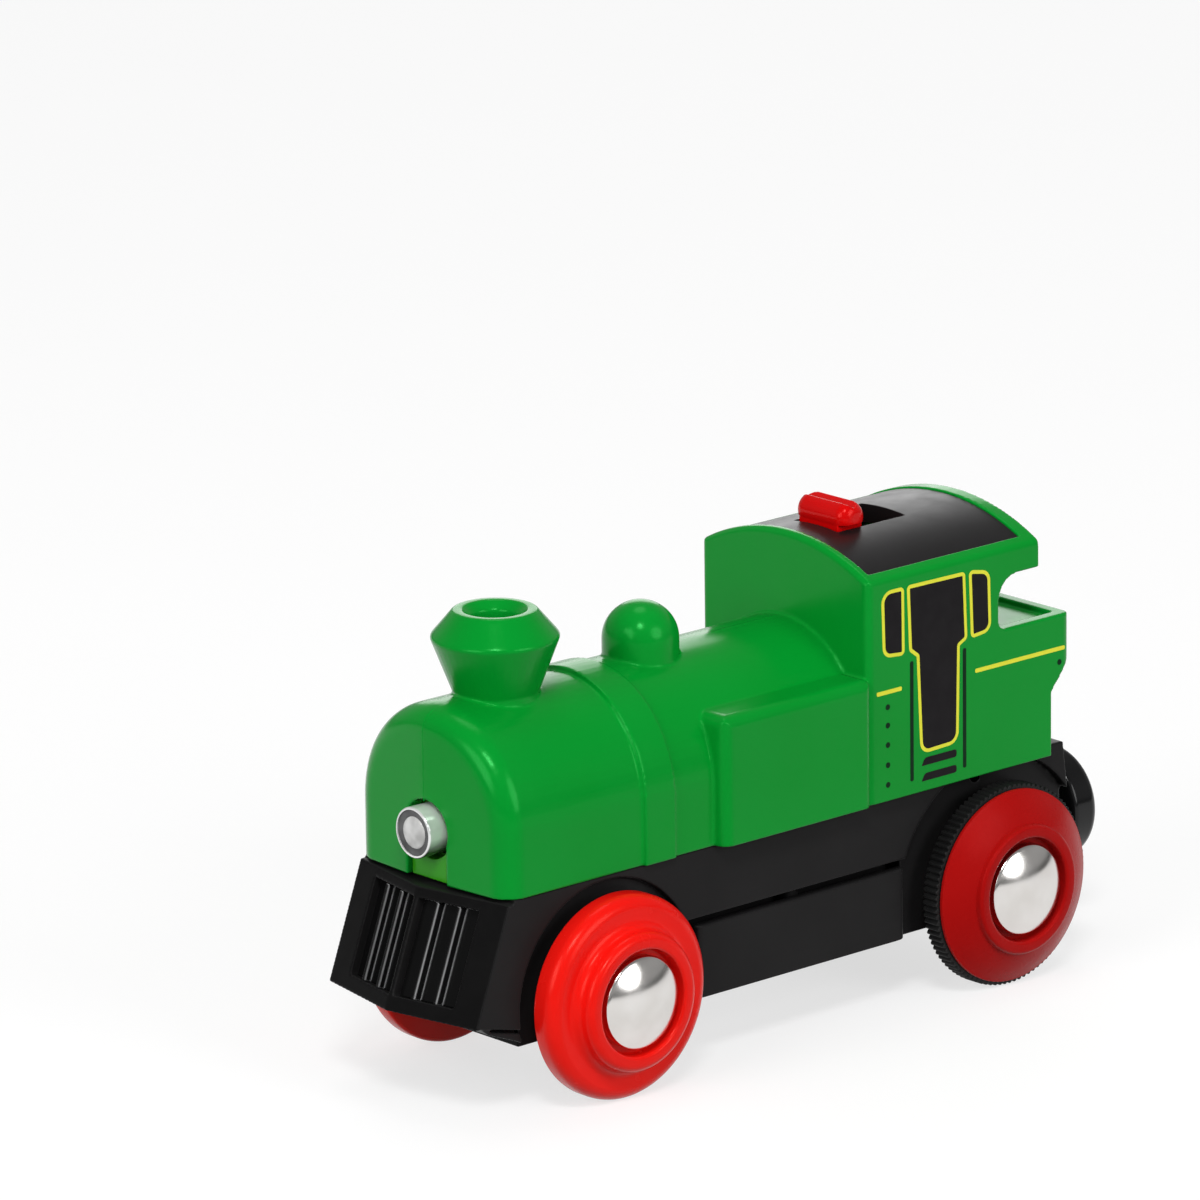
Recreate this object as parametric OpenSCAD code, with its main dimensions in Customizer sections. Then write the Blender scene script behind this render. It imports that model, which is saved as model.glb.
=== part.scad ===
// Battery-driven toy steam locomotive for grooved wooden track.
// Frame: +X forward, +Y left, +Z up, origin on the ground under the middle of the length.

/* [Overall] */
// Reach of the plough's tip ahead of the front axle
front_reach = 20.05; // [19.8:0.05:21]
// Reach of the rear coupler behind the rear axle
rear_reach = 21.45; // [21:0.05:22.5]
// Room along the length between each axle's middle and the battery cell
axle_clear = 2.25; // [2.1:0.05:3]
// Height of the seam between the green shell and the chassis
seam_z = 23.3; // [23.3:0.1:24.5]

/* [Boiler] */
// Front face of the boiler, ahead of the front axle
nose_ahead = 13.65; // [13.2:0.05:14.2]
// Half width of the boiler, which is also the radius of its arch
boiler_r = 11.75; // [11.5:0.05:12]
// Height of the boiler above the seam
boiler_h = 18.3; // [17:0.1:19.5]
// Rounding of the boiler's front edge
nose_round = 2.5; // [2:0.1:4]
// Wall of the shell
wall = 1.5; // [1.2:0.1:1.7]
// Front edge of the raised boiler band, behind the front axle
band_back = 5; // [3:0.1:8]
// Width of the band
band_w = 4.2; // [2:0.1:6]
// How far the band stands proud
band_proud = 0.45; // [0.2:0.05:0.8]
// Place of the chimney, ahead of the front axle
chimney_ahead = 4.45; // [3.6:0.05:5.4]
// Widest radius of the chimney
chimney_r = 6.7; // [5.5:0.1:7.5]
// Height of the chimney's widest edge above the boiler
chimney_h = 5.7; // [4.5:0.1:6.5]
// Height of the chimney's top ring above that edge
chimney_cone_h = 2.9; // [2:0.1:3.6]
// Radius of the chimney's foot
chimney_foot_r = 4.5; // [3.8:0.1:5]
// Outer radius of the chimney's top ring
chimney_ring_r = 4.6; // [4.2:0.1:5]
// Radius of the chimney's mouth
chimney_bore_r = 2.6; // [2:0.1:3.4]
// Place of the steam dome, ahead of the cab
dome_ahead = 20.3; // [17:0.1:23]
// Radius of the steam dome
dome_r = 4.05; // [3:0.05:5]
// Height of the dome above the boiler
dome_h = 5.6; // [4.4:0.1:6.8]
// Length of the side tanks, ahead of the cab
tank_l = 20.9; // [16:0.1:23]
// Half width across the side tanks
tank_half_w = 13.3; // [12.9:0.1:13.6]
// Height of the side tanks above the seam
tank_h = 13.9; // [11:0.1:15]
// Rounding of the tanks' edges
tank_round = 1.3; // [0.6:0.1:1.6]

/* [Cab] */
// Front wall of the cab, ahead of the rear axle
cab_ahead = 19.2; // [18.6:0.1:20]
// Half width of the cab
cab_half_w = 12.8; // [12.6:0.1:13.2]
// Height of the eaves above the boiler
eave_h = 5.85; // [5:0.05:6.4]
// Height of the roof's crown above the eaves
roof_rise = 3.35; // [2.8:0.05:4]
// Length of the roof
roof_l = 25; // [24:0.1:26]
// Rounding of the eaves
eave_round = 0.8; // [0.4:0.1:1]
// Rear wall of the cab, behind the rear axle
cab_behind = 7.7; // [7.6:0.1:8.2]
// How far the bunker stands out behind that wall
bunker_out = 2.9; // [2:0.1:3.5]
// Height of the bunker's rim above the seam
bunker_h = 15.4; // [14.6:0.1:16.2]
// Height of the bunker's rear face
bunker_face_h = 4.85; // [4:0.05:5.6]
// Height of the slope under that face
bunker_slope_h = 3.4; // [2.4:0.05:4.4]
// Depth of the opening under the roof's rear end
notch_l = 5.9; // [5:0.1:6.6]
// Depth of the roof's side below the eaves at that opening
notch_drop = 2.95; // [2.4:0.05:3.7]
// Rounding of the cab's rear upright edges
cab_round = 1.2; // [0.6:0.1:1.6]
// Rounding of the cab's front upright edges
cab_front_round = 0.8; // [0.4:0.1:1.2]
// Width of the green border round the black roof panel
roof_border = 1.25; // [0.8:0.05:2]
// Border behind the roof panel
roof_border_rear = 1.8; // [1:0.1:2.5]
// Thickness of the roof panel
panel_t = 0.5; // [0.4:0.05:0.6]
// How far the panel lies below the border
panel_drop = 0.2; // [0:0.05:0.3]
// Width of the slope along the roof's front edge
roof_edge = 0.45; // [0.2:0.05:0.7]

/* [Switch] */
// Middle of the switch knob behind the cab's front, in its forward place
knob_back = 6.8; // [6.2:0.1:7.2]
// Length of the knob along its travel
knob_l = 3.7; // [3.2:0.1:4]
// Half width of the knob
knob_half_w = 3.9; // [3.4:0.1:4.2]
// How far the knob stands above the roof
knob_rise = 2.3; // [1.8:0.1:2.8]
// Half distance between the knob's two ridges
ridge_half = 0.8; // [0.5:0.05:1.1]
// Length of the knob's stem along its travel
stem_l = 3.5; // [3:0.1:3.6]
// Half width of the knob's stem
stem_half_w = 2.95; // [2.4:0.05:3.2]
// Travel from forward to reverse
travel = 5.5; // [4:0.5:6]
// Clearance between the knob's stem and its slot
slot_gap = 0.4; // [0.3:0.05:0.5]
// Thickness of the roof panel's collar round the slot
collar_t = 0.6; // [0.4:0.05:0.8]

/* [Wheels] */
// Radius of the front wheels
wheel_r = 10.85; // [10.6:0.05:11]
// Radius over the rear tyres
tyre_r = 11; // [10.8:0.05:11.1]
// Distance of the wheels' inner faces from the middle plane
wheel_in_y = 12.2; // [12.1:0.05:12.4]
// Width of a front wheel's rim
rim_w = 3; // [2.6:0.1:3.4]
// Distance of the hub lips from the middle plane
hub_y = 17.2; // [16.8:0.1:17.4]
// Outer radius of the front hubs
hub_r = 7.4; // [7:0.1:7.6]
// Outer radius of the rear hubs
rear_hub_r = 7.05; // [6.8:0.05:7.4]
// Radius of the dished recess in a hub
recess_r = 5.65; // [5.4:0.05:5.9]
// Radius of the domed steel caps
cap_r = 4.95; // [4.4:0.05:5.1]
// Distance of the caps' crowns from the middle plane
cap_y = 18.3; // [18:0.1:18.6]
// Width of a rear tyre
tyre_w = 2; // [1.6:0.1:2.2]
// Number of ribs round a tyre
tyre_ribs = 96; // [80:1:100]
// Radius of the axles
axle_r = 1.5; // [1.2:0.05:1.6]

/* [Chassis] */
// Half width of the chassis sides
chassis_half_w = 11.6; // [11.5:0.05:11.7]
// Half width between the wheels
tub_half_w = 10.4; // [10.2:0.05:10.6]
// Height of the chassis underside
floor_z = 7.1; // [6.9:0.1:7.3]
// Thickness of the battery cover
cover_t = 1.2; // [1:0.1:1.3]
// Height of the battery cover's sides
cover_h = 7.85; // [6.8:0.05:8.2]
// Height of the dark slit above the cover
slit_h = 1; // [0.6:0.1:1.4]
// Length of the wide part of the battery cover
cover_l = 29.8; // [27:0.1:31]
// Radius of the front wheel arches
arch_front_r = 11.95; // [11.6:0.05:12.2]
// Radius of the rear wheel arches
arch_rear_r = 13.6; // [13:0.1:13.8]
// Length of the chassis behind the cab's rear wall
chassis_tail = 3.5; // [3.3:0.1:4.1]
// Thickness of the deck inside the shell
deck_t = 1; // [0.8:0.1:1.2]

/* [Plough] */
// Lean of the plough from upright, in degrees
plough_lean = 20.5; // [16:0.5:21]
// Angle of each half of the plough's V, in degrees
plough_v = 10.9; // [9:0.1:11.5]
// Height of the plough's lower edge above the underside
plough_gap = 3.5; // [2.9:0.1:4.1]
// Depth of the plough's top ledge below the seam
plough_drop = 0.4; // [0.2:0.05:0.9]
// Thickness of the plough's wall
grille_t = 1.6; // [1.2:0.1:1.8]
// Far edge of the window in each half of the plough
window_w = 8.1; // [7.4:0.1:8.6]
// Depth of the windows
window_depth = 1; // [0.6:0.05:1.3]
// Thickness of the fins in the windows
fin_t = 0.5; // [0.4:0.05:0.8]
// Spacing of the fins
fin_pitch = 2.78; // [2.4:0.02:3]
// Frame above the windows
frame_top = 1.1; // [0.9:0.1:2]
// Frame below the windows
frame_low = 1.7; // [1.2:0.1:2.4]

/* [Lamp] */
// Height of the headlamp above the seam
lamp_h = 5.4; // [4.9:0.1:6.4]
// Radius of the lamp's clear lens
lens_r = 2.7; // [2.5:0.05:2.9]
// Dark gap round the lens
lens_gap = 0.5; // [0.3:0.05:0.6]
// How far the lens stands out of the boiler's front
lens_out = 1.95; // [1.4:0.05:2.4]

/* [Coupler] */
// Height of the rear coupler
coupler_z = 13; // [12.6:0.1:13.4]
// Radius of the coupler
coupler_r = 6.3; // [5.8:0.1:6.5]
// Thickness of the coupler's round head
coupler_t = 3.8; // [3.4:0.1:4.5]
// Radius of the magnet
magnet_r = 4.6; // [4:0.1:5]
// Thickness of the magnet
magnet_t = 2.4; // [1.8:0.1:2.6]

/* [Drive] */
// Size of the gear teeth (pitch diameter per tooth)
gear_m = 0.4; // [0.39:0.005:0.405]
// Radius of the battery cell
cell_r = 7.25; // [7:0.05:7.25]
// Length of the battery cell
cell_l = 50.5; // [49.5:0.1:50.6]

/* [Hidden] */

$fn = 64;
eps = 0.01;
run_gap = 0.05;
seat_gap = 0.1;

body_green = "#12933a";
plastic_black = "#262628";
wheel_red = "#e0201c";
steel = "#d8d4cf";
brass = "#c9a95a";
nylon = "#e9e6dc";

wheelbase = cell_l + 2 * axle_clear;
overall_l = front_reach + wheelbase + rear_reach;
tip_x = overall_l / 2;
coupler_x = -overall_l / 2;
rear_axle_x = coupler_x + rear_reach;
front_axle_x = rear_axle_x + wheelbase;
nose_x = front_axle_x + nose_ahead;
chimney_x = front_axle_x + chimney_ahead;
band_x = front_axle_x - band_back;
cab_x = rear_axle_x + cab_ahead;
dome_x = cab_x + dome_ahead;
tank_x = cab_x + tank_l;
cab_rear_x = rear_axle_x - cab_behind;
bunker_rear_x = cab_rear_x - bunker_out;
chassis_rear_x = cab_rear_x - chassis_tail;
roof_rear_x = cab_x - roof_l;
notch_x = roof_rear_x + notch_l;
knob_x = cab_x - knob_back;
boiler_top = seam_z + boiler_h;
chimney_edge_z = boiler_top + chimney_h;
chimney_top = chimney_edge_z + chimney_cone_h;
dome_top = boiler_top + dome_h;
tank_top = seam_z + tank_h;
eave_z = boiler_top + eave_h;
roof_z = eave_z + roof_rise;
bunker_top = seam_z + bunker_h;
bunker_low = bunker_top - bunker_face_h;
bunker_slope_z = bunker_low - bunker_slope_h;
notch_top = eave_z - notch_drop;
cover_top = floor_z + cover_h;
plough_low = floor_z + plough_gap;
plough_top = seam_z - plough_drop;
lamp_z = seam_z + lamp_h;
knob_top = roof_z + knob_rise;
middle_x = (front_axle_x + rear_axle_x) / 2;
boiler_z = boiler_top - boiler_r;
deck_z = seam_z + deck_t;
inner_r = boiler_r - wall;
roof_r = (cab_half_w * cab_half_w + pow(roof_z - eave_z, 2)) / (2 * (roof_z - eave_z));
roof_axis_z = roof_z - roof_r;
panel_r = roof_r - panel_drop;
cab_inner_w = cab_half_w - wall;
cab_inner_x = cab_x - wall;
bunker_dip = 0.6;
bunker_ceiling = bunker_top - bunker_dip - 1.2;

slit_top = cover_top + slit_h;
cell_z = floor_z + cover_t + 0.2 + cell_r;
bay_half_w = cell_r + 0.2;
contact_t = 0.4;
contact_half_w = 3.5;
bay_front = middle_x + cell_l / 2 + contact_t + seat_gap;
bay_rear = middle_x - cell_l / 2 - contact_t - seat_gap;
bulkhead_z = tyre_r + axle_r + 0.4;
tail_half_w = 1.5;
cover_boss_r = 1.2;
cover_screw_r = 0.6;
cover_screw_y = bay_half_w + 0.3 + cover_boss_r;
ledge_t = 1;
chin_in = 0.2;
cheek_z = floor_z + 2.2;
frame_inner = 0.3;
ridge_flat = 0.05;
slant_l = (plough_top - plough_low) / cos(plough_lean);
insert_t = 0.8;
hollow_half_w = tub_half_w - 1;
insert_gap = 0.02;
fin_gap = 0.06;
lean_slab = atan(tan(plough_lean) * cos(plough_v));
stalk_r = 2.4;
stalk_seat = 2;
pilot_r = 0.7;
tongue_half_w = lens_r + 0.3;
tongue_gap = 0.05;
pilot_l = 2;
coupler_screw_r = 1.4;
coupler_screw_t = 0.7;
coupler_screw_x = coupler_x + magnet_t + coupler_screw_t + 0.1;

slot_front = knob_x + stem_l / 2 + slot_gap;
slot_rear = knob_x - stem_l / 2 - slot_gap - travel;
slot_half_w = stem_half_w + slot_gap;
panel_front = cab_x - roof_border;
panel_rear = roof_rear_x + roof_border_rear;
panel_half_w = cab_half_w - roof_border;
flange_t = 1;
flange_z = roof_z - wall - 2.4;
board_t = 1;
wiper_t = 0.6;
board_top = flange_z - wiper_t - 0.1;
board_rear = notch_x + wall + 0.5;
board_front = cab_inner_x - 0.3;
board_half_w = cab_inner_w - 1;

bush_r = 2.6;
bush_in_y = 9.4;
bush_out_y = wheel_in_y - 0.3;
tyre_seat_r = tyre_r - 2.2;
recess_y = hub_y - 1.7;
cap_skirt = 1.4;
axle_end_y = recess_y + 1;

post_r = 2.3;
front_post_x = chimney_x;
rear_post_x = cab_rear_x + wall + post_r - 0.5;
screw_r = 0.8;
screw_head_r = 1.6;
screw_head_z = seam_z - 6;

teeth_pinion = 9;
teeth_large = 28;
teeth_small = 9;
teeth_idler = 34;
teeth_axle = 24;
gear_y0 = 7.6;
gear_y1 = 9.05;
large_y0 = 5.3;
large_y1 = 6.7;
addendum = 0.8;
dedendum = 1.1;
pressure = 25;
backlash = 0.08;
idler_dx = 1.3;
idler_dist = pitch_r(teeth_axle) + pitch_r(teeth_idler);
idler_x = rear_axle_x + idler_dx;
idler_z = tyre_r + sqrt(idler_dist * idler_dist - idler_dx * idler_dx);
small_turn = 75;
small_dist = pitch_r(teeth_idler) + pitch_r(teeth_small);
small_x = idler_x + small_dist * cos(small_turn);
small_z = idler_z + small_dist * sin(small_turn);
motor_turn = 40;
motor_dist = pitch_r(teeth_large) + pitch_r(teeth_pinion);
motor_x = small_x + motor_dist * cos(motor_turn);
motor_z = small_z + motor_dist * sin(motor_turn);
idler_turn = atan2(idler_z - tyre_r, idler_x - rear_axle_x);
idler_phase = meshed(0, teeth_axle, teeth_idler, idler_turn);
small_phase = meshed(idler_phase, teeth_idler, teeth_small, small_turn);
pinion_phase = meshed(small_phase, teeth_large, teeth_pinion, motor_turn);
pin_r = 0.75;
gear_bulge_r = pitch_r(teeth_axle) + addendum * gear_m + 1.1;

plate_in_y0 = 3.9;
plate_in_y1 = 4.9;
plate_out_y0 = gear_y1 + 0.3;
plate_out_y1 = inner_r - 0.15;
plate_rear_x = small_x - 3;
plate_front_x = motor_x + 6.4;
plate_top = motor_z + 5.4;
motor_half_x = 6;
motor_half_z = 5;
motor_can_l = 12;
motor_cap_l = 3;
shaft_end_y = large_y1 + 0.3;

// Radius on which two gears roll together
function pitch_r(n) = n * gear_m / 2;
// Turn of the second gear whose gap takes the first gear's tooth on the line at angle phi
function meshed(turn, n1, n2, phi) = phi + 180 - (turn - phi) * n1 / n2 + 180 / n2;
function polar(r, a) = [r * cos(a), r * sin(a)];
function involute(a) = tan(a) * 180 / PI - a;
// Half the angle that a tooth fills at radius q
function tooth_half(n, q) = let (r = pitch_r(n), base = r * cos(pressure))
  90 / n - backlash / 2 / r * 180 / PI + involute(pressure) - involute(acos(min(1, base / q)));

// Outline of a gear with involute flanks
module gear_outline(n) {
  root = pitch_r(n) - dedendum * gear_m;
  start = max(root, pitch_r(n) * cos(pressure));
  top = pitch_r(n) + addendum * gear_m;
  steps = 3;
  flank = concat(start > root ? [root] : [], [for (j = [0:steps]) start + (top - start) * j / steps]);
  last = len(flank) - 1;
  polygon([for (i = [0:n - 1]) each concat(
    [for (q = flank) polar(q, 360 * i / n - tooth_half(n, max(q, start)))],
    [for (j = [last:-1:0]) polar(flank[j], 360 * i / n + tooth_half(n, max(flank[j], start)))])]);
}

// Gear with its axis along Y
module gear(n, x, z, y0, y1, turn) {
  translate([x, y1, z]) rotate([90, 0, 0]) linear_extrude(y1 - y0) rotate(turn) gear_outline(n);
}

module bar_y(x, z, r, y0, y1) {
  translate([x, y1, z]) rotate([90, 0, 0]) cylinder(r = r, h = y1 - y0);
}

module bar_x(y, z, r, x0, x1) {
  translate([x0, y, z]) rotate([0, 90, 0]) cylinder(r = r, h = x1 - x0);
}

module bar_z(x, y, r, z0, z1) {
  translate([x, y, z0]) cylinder(r = r, h = z1 - z0);
}

module box(x0, x1, y0, y1, z0, z1) {
  translate([x0, y0, z0]) cube([x1 - x0, y1 - y0, z1 - z0]);
}

module both_sides() {
  children();
  mirror([0, 1, 0]) children();
}

// Flat outline drawn in X and Z, given its width along Y
module across(half_w) {
  translate([0, half_w, 0]) rotate([90, 0, 0]) linear_extrude(2 * half_w) children();
}

// Flat outline drawn in Y and Z, given its length along X
module along(x0, x1) {
  translate([x0, 0, 0]) rotate([90, 0, 90]) linear_extrude(x1 - x0) children();
}

// Profile of radius and distance from the middle plane, turned about an axle
module turned(x, z) {
  translate([x, 0, z]) rotate([-90, 0, 0]) rotate_extrude() children();
}

// What is cut from a corner so that it has radius r; sx and sy point into the shape
module corner_cut(x, y, sx, sy, r) {
  translate([x, y]) mirror([sx < 0 ? 1 : 0, 0]) mirror([0, sy < 0 ? 1 : 0]) difference() {
    translate([-eps, -eps]) square(r + eps);
    translate([r, r]) circle(r);
  }
}

// Rectangle with its own radius at the low-left, low-right, high-right and high-left corners
module plate(x0, y0, x1, y1, radii) {
  difference() {
    translate([x0, y0]) square([x1 - x0, y1 - y0]);
    if (radii[0] > 0) corner_cut(x0, y0, 1, 1, radii[0]);
    if (radii[1] > 0) corner_cut(x1, y0, -1, 1, radii[1]);
    if (radii[2] > 0) corner_cut(x1, y1, -1, -1, radii[2]);
    if (radii[3] > 0) corner_cut(x0, y1, 1, -1, radii[3]);
  }
}

// Arched boiler with a rounded front edge, from the height low upward
module boiler_form(r, front, back, round_r, low) {
  translate([0, 0, low]) linear_extrude(boiler_z - low)
    plate(back, -r, front, r, [0, round_r, round_r, 0]);
  intersection() {
    translate([0, 0, boiler_z]) rotate([0, 90, 0]) rotate_extrude()
      plate(0, back, r, front, [0, 0, round_r, 0]);
    box(back - 1, front + 1, -r - 1, r + 1, boiler_z, boiler_z + r + 1);
  }
}

// Arch of the boiler seen from the front
module boiler_arch(r, low) {
  translate([-r, low]) square([2 * r, boiler_z - low]);
  intersection() {
    translate([0, boiler_z]) circle(r);
    translate([-r, boiler_z]) square([2 * r, r]);
  }
}

// What is cut from the corner between a side wall and the curved roof
module eave_cut() {
  y = cab_half_w - eave_round;
  z = roof_axis_z + sqrt(pow(roof_r - eave_round, 2) - y * y);
  turn = atan2(z - roof_axis_z, y);
  difference() {
    translate([y, z]) polygon([[0, 0], [4, 0], [4, 4], polar(4, turn)]);
    translate([y, z]) circle(eave_round);
  }
}

// Cab seen from the front, under its curved roof
module cab_front_view() {
  difference() {
    intersection() {
      translate([-cab_half_w, seam_z]) square([2 * cab_half_w, roof_z]);
      translate([0, roof_axis_z]) circle(roof_r);
    }
    eave_cut();
    mirror([1, 0]) eave_cut();
  }
}

// Opening between the bunker and the overhanging roof, seen from the side
module notch_view() {
  plate(bunker_rear_x - 1, bunker_top, notch_x, notch_top, [0, 1, 2.6, 0]);
}

// Cab and bunker seen from the side
module cab_side_view() {
  difference() {
    polygon([[cab_x, seam_z], [cab_x, roof_z + 1], [roof_rear_x, roof_z + 1],
      [roof_rear_x, bunker_top], [bunker_rear_x, bunker_top], [bunker_rear_x, bunker_low],
      [cab_rear_x, bunker_slope_z], [cab_rear_x, seam_z]]);
    notch_view();
  }
}

// Room inside the cab and bunker, seen from the side
module cab_room_view() {
  polygon([[cab_inner_x, seam_z - 1], [cab_inner_x, roof_z], [notch_x + wall, roof_z],
    [notch_x + wall, bunker_ceiling], [cab_rear_x + wall, bunker_ceiling],
    [cab_rear_x + wall, seam_z - 1]]);
}

module cab_form() {
  difference() {
    intersection() {
      across(cab_half_w + 1) cab_side_view();
      along(bunker_rear_x - 1, cab_x + 1) cab_front_view();
      translate([0, 0, seam_z - 1]) linear_extrude(roof_z)
        plate(bunker_rear_x, -cab_half_w, cab_x, cab_half_w,
          [cab_round, cab_front_round, cab_front_round, cab_round]);
    }
    // Slope along the roof's front edge
    translate([0, 0, roof_axis_z]) rotate([0, 90, 0]) rotate_extrude()
      polygon([[roof_r - roof_edge - 1, cab_x + 1], [roof_r + 1, cab_x - roof_edge - 1],
        [roof_r + 1, cab_x + 1]]);
  }
}

module tanks_form() {
  rear = cab_x - 0.1;
  rear_round = tank_round - 0.5;
  intersection() {
    along(rear, tank_x) plate(-tank_half_w, seam_z, tank_half_w, tank_top, [0, 0, tank_round, tank_round]);
    across(tank_half_w + 1) plate(rear, seam_z, tank_x, tank_top, [0, 0, tank_round, rear_round]);
    translate([0, 0, seam_z - 1]) linear_extrude(tank_top)
      plate(rear, -tank_half_w, tank_x, tank_half_w, [rear_round, tank_round, tank_round, rear_round]);
  }
}

module chimney_form() {
  ring_in = chimney_bore_r + 0.8;
  translate([chimney_x, 0, 0]) rotate_extrude() polygon([[0, boiler_top - 3],
    [chimney_foot_r, boiler_top - 3], [chimney_foot_r, boiler_top], [chimney_r, chimney_edge_z],
    [chimney_r - 0.15, chimney_edge_z + 0.3], [chimney_ring_r, chimney_top - 0.3],
    [chimney_ring_r - 0.3, chimney_top], [ring_in, chimney_top], [chimney_bore_r, chimney_top - 0.9],
    [chimney_bore_r - 0.5, chimney_top - 5], [0, chimney_top - 5]]);
}

module dome_form() {
  bar_z(dome_x, 0, dome_r, boiler_top - 3, dome_top - dome_r);
  translate([dome_x, 0, dome_top - dome_r]) sphere(dome_r);
}

// Upright slot in the boiler's front that takes the lamp from below
module lamp_slot() {
  bar_x(0, lamp_z, lens_r + lens_gap, nose_x - wall - 1, nose_x + 1);
  box(nose_x - wall - 1, nose_x + 1, -tongue_half_w, tongue_half_w, seam_z - 1, lamp_z);
}

// Curved slab of the roof between two radii
module roof_slab(r0, r1, x0, x1, half_w) {
  intersection() {
    along(x0, x1) translate([0, roof_axis_z]) difference() {
      circle(r1);
      circle(r0);
    }
    box(x0 - 1, x1 + 1, -half_w, half_w, eave_z - 2, roof_z + 2);
  }
}

module body_shell() {
  shelf_w = 2.2;
  shelf_t = 1.2;
  rim = collar_t + run_gap;
  color(body_green) difference() {
    union() {
      difference() {
        union() {
          boiler_form(boiler_r, nose_x, cab_x - 0.5, nose_round, seam_z);
          along(band_x - band_w, band_x) boiler_arch(boiler_r + band_proud, seam_z);
          tanks_form();
          cab_form();
          dome_form();
          chimney_form();
        }
        boiler_form(inner_r, nose_x - wall, cab_inner_x - 1, nose_round - wall, seam_z - 1);
        intersection() {
          across(cab_inner_w) cab_room_view();
          along(bunker_rear_x, cab_x) cab_front_view_room();
        }
      }
      // Screw posts, and the shelves that carry the switch board
      bar_z(front_post_x, 0, post_r, deck_z + seat_gap, boiler_top - wall / 2);
      bar_z(rear_post_x, 0, post_r, deck_z + seat_gap, bunker_ceiling + eps);
      both_sides() box(board_rear - 0.4, cab_inner_x + eps, cab_inner_w - shelf_w, cab_inner_w + eps,
        board_top - board_t - shelf_t, board_top - board_t);
    }
    // Recess for the roof panel, and the slot for the switch
    roof_slab(panel_r - panel_t - 0.03, roof_r + 2, panel_rear - run_gap, panel_front + run_gap,
      panel_half_w + run_gap);
    box(slot_rear - rim, slot_front + rim, -slot_half_w - rim, slot_half_w + rim, roof_z - 6, roof_z + 1);
    // Shallow tray on top of the bunker
    box(bunker_rear_x + wall, notch_x - 1, -cab_inner_w, cab_inner_w,
      bunker_top - bunker_dip, bunker_top + 0.3);
    lamp_slot();
    for (x = [front_post_x, rear_post_x]) bar_z(x, 0, screw_r, deck_z - 1, deck_z + 9);
  }
}

// Room of the cab seen from the front
module cab_front_view_room() {
  intersection() {
    translate([-cab_inner_w, seam_z - 1]) square([2 * cab_inner_w, roof_z]);
    translate([0, roof_axis_z]) circle(panel_r - wall - panel_t);
  }
}

// Roof panel, with the collar under it that lines the slot
module roof_panel() {
  under_r = panel_r - panel_t;
  color("#1b1b1d") difference() {
    union() {
      roof_slab(under_r, panel_r, panel_rear, panel_front, panel_half_w);
      roof_slab(under_r - wall, under_r + eps, slot_rear - collar_t, slot_front + collar_t,
        slot_half_w + collar_t);
    }
    box(slot_rear, slot_front, -slot_half_w, slot_half_w, eave_z, roof_z + 1);
  }
}

// Tongue that closes the slot under the lamp, with the ring that holds the lens
module lamp_holder() {
  ring_r = lens_r + 1.4;
  ring_l = 4;
  back = nose_x - wall - seat_gap;
  half_w = tongue_half_w - tongue_gap;
  color("#3f9e2e") difference() {
    union() {
      box(back - 1, nose_x - tongue_gap, -half_w, half_w, deck_z + seat_gap, lamp_z);
      box(back + seat_gap, nose_x - tongue_gap, -half_w, half_w, seam_z, lamp_z);
      bar_x(0, lamp_z, ring_r, back - ring_l, back);
      box(back - ring_l, back, -ring_r, ring_r, deck_z, lamp_z);
    }
    bar_x(0, lamp_z, lens_r + seat_gap, back - ring_l + 1, nose_x + 1);
    bar_x(0, lamp_z, 1.6, back - ring_l - 1, nose_x);
    // Hollow under the lens, as far as the ring
    bar_x(0, lamp_z, lens_r + lens_gap, back + eps, nose_x + 1);
    box(back + eps, nose_x + 1, -ring_r, ring_r, lamp_z - 1, lamp_z + ring_r);
  }
}

module lamp_lens() {
  back = nose_x - wall - seat_gap - 2.9;
  front = nose_x + lens_out;
  color("#dfe6e8") difference() {
    translate([0, 0, lamp_z]) rotate([0, 90, 0]) rotate_extrude()
      plate(0, back, lens_r, front, [0, 0, 0.8, 0]);
    // Ring-shaped groove in the front face, and the seat of the bulb behind
    difference() {
      bar_x(0, lamp_z, lens_r - 0.7, front - 0.35, front + 1);
      bar_x(0, lamp_z, lens_r - 1.15, front - 1, front + 2);
    }
    bar_x(0, lamp_z, 1.55, back - 1, back + 2.2);
  }
}

module lamp_led() {
  back = nose_x - wall - seat_gap - 2.9;
  color("#fff3d0") {
    bar_x(0, lamp_z, 1.5, back - 1.6, back + 0.6);
    translate([back + 0.6, 0, lamp_z]) sphere(1.5);
    both_sides() bar_x(0.8, lamp_z, 0.25, back - 2.5, back - 1.5);
  }
}

// Barrel-shaped knob with two ridges and a thumb groove, its stem in the slot and its flange below the roof
module switch_knob() {
  barrel_r = knob_l / 2;
  barrel_z = knob_top - sqrt(barrel_r * barrel_r - ridge_half * ridge_half);
  low = roof_z + 0.05;
  groove = 0.5;
  end_round = 0.75 * barrel_r;
  color("#d8161a") {
    difference() {
      turned(knob_x, barrel_z)
        plate(0, -knob_half_w, barrel_r, knob_half_w, [0, end_round, end_round, 0]);
      box(knob_x - knob_l, knob_x + knob_l, -knob_half_w - 1, knob_half_w + 1, low - knob_l, low);
      across(knob_half_w + 1) translate([knob_x, knob_top])
        polygon([[-ridge_half, 0], [0, -groove], [ridge_half, 0], [0, 1]]);
    }
    box(knob_x - stem_l / 2, knob_x + stem_l / 2, -stem_half_w, stem_half_w, flange_z, low + eps);
    box(knob_x - barrel_r - 1, knob_x + barrel_r + 1, -stem_half_w - 2, stem_half_w + 2,
      flange_z, flange_z + flange_t);
  }
}

module switch_wiper() {
  color(brass) both_sides()
    box(knob_x - knob_l / 2, knob_x + knob_l / 2, 1.2, 2.8, flange_z - wiper_t, flange_z);
}

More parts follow.
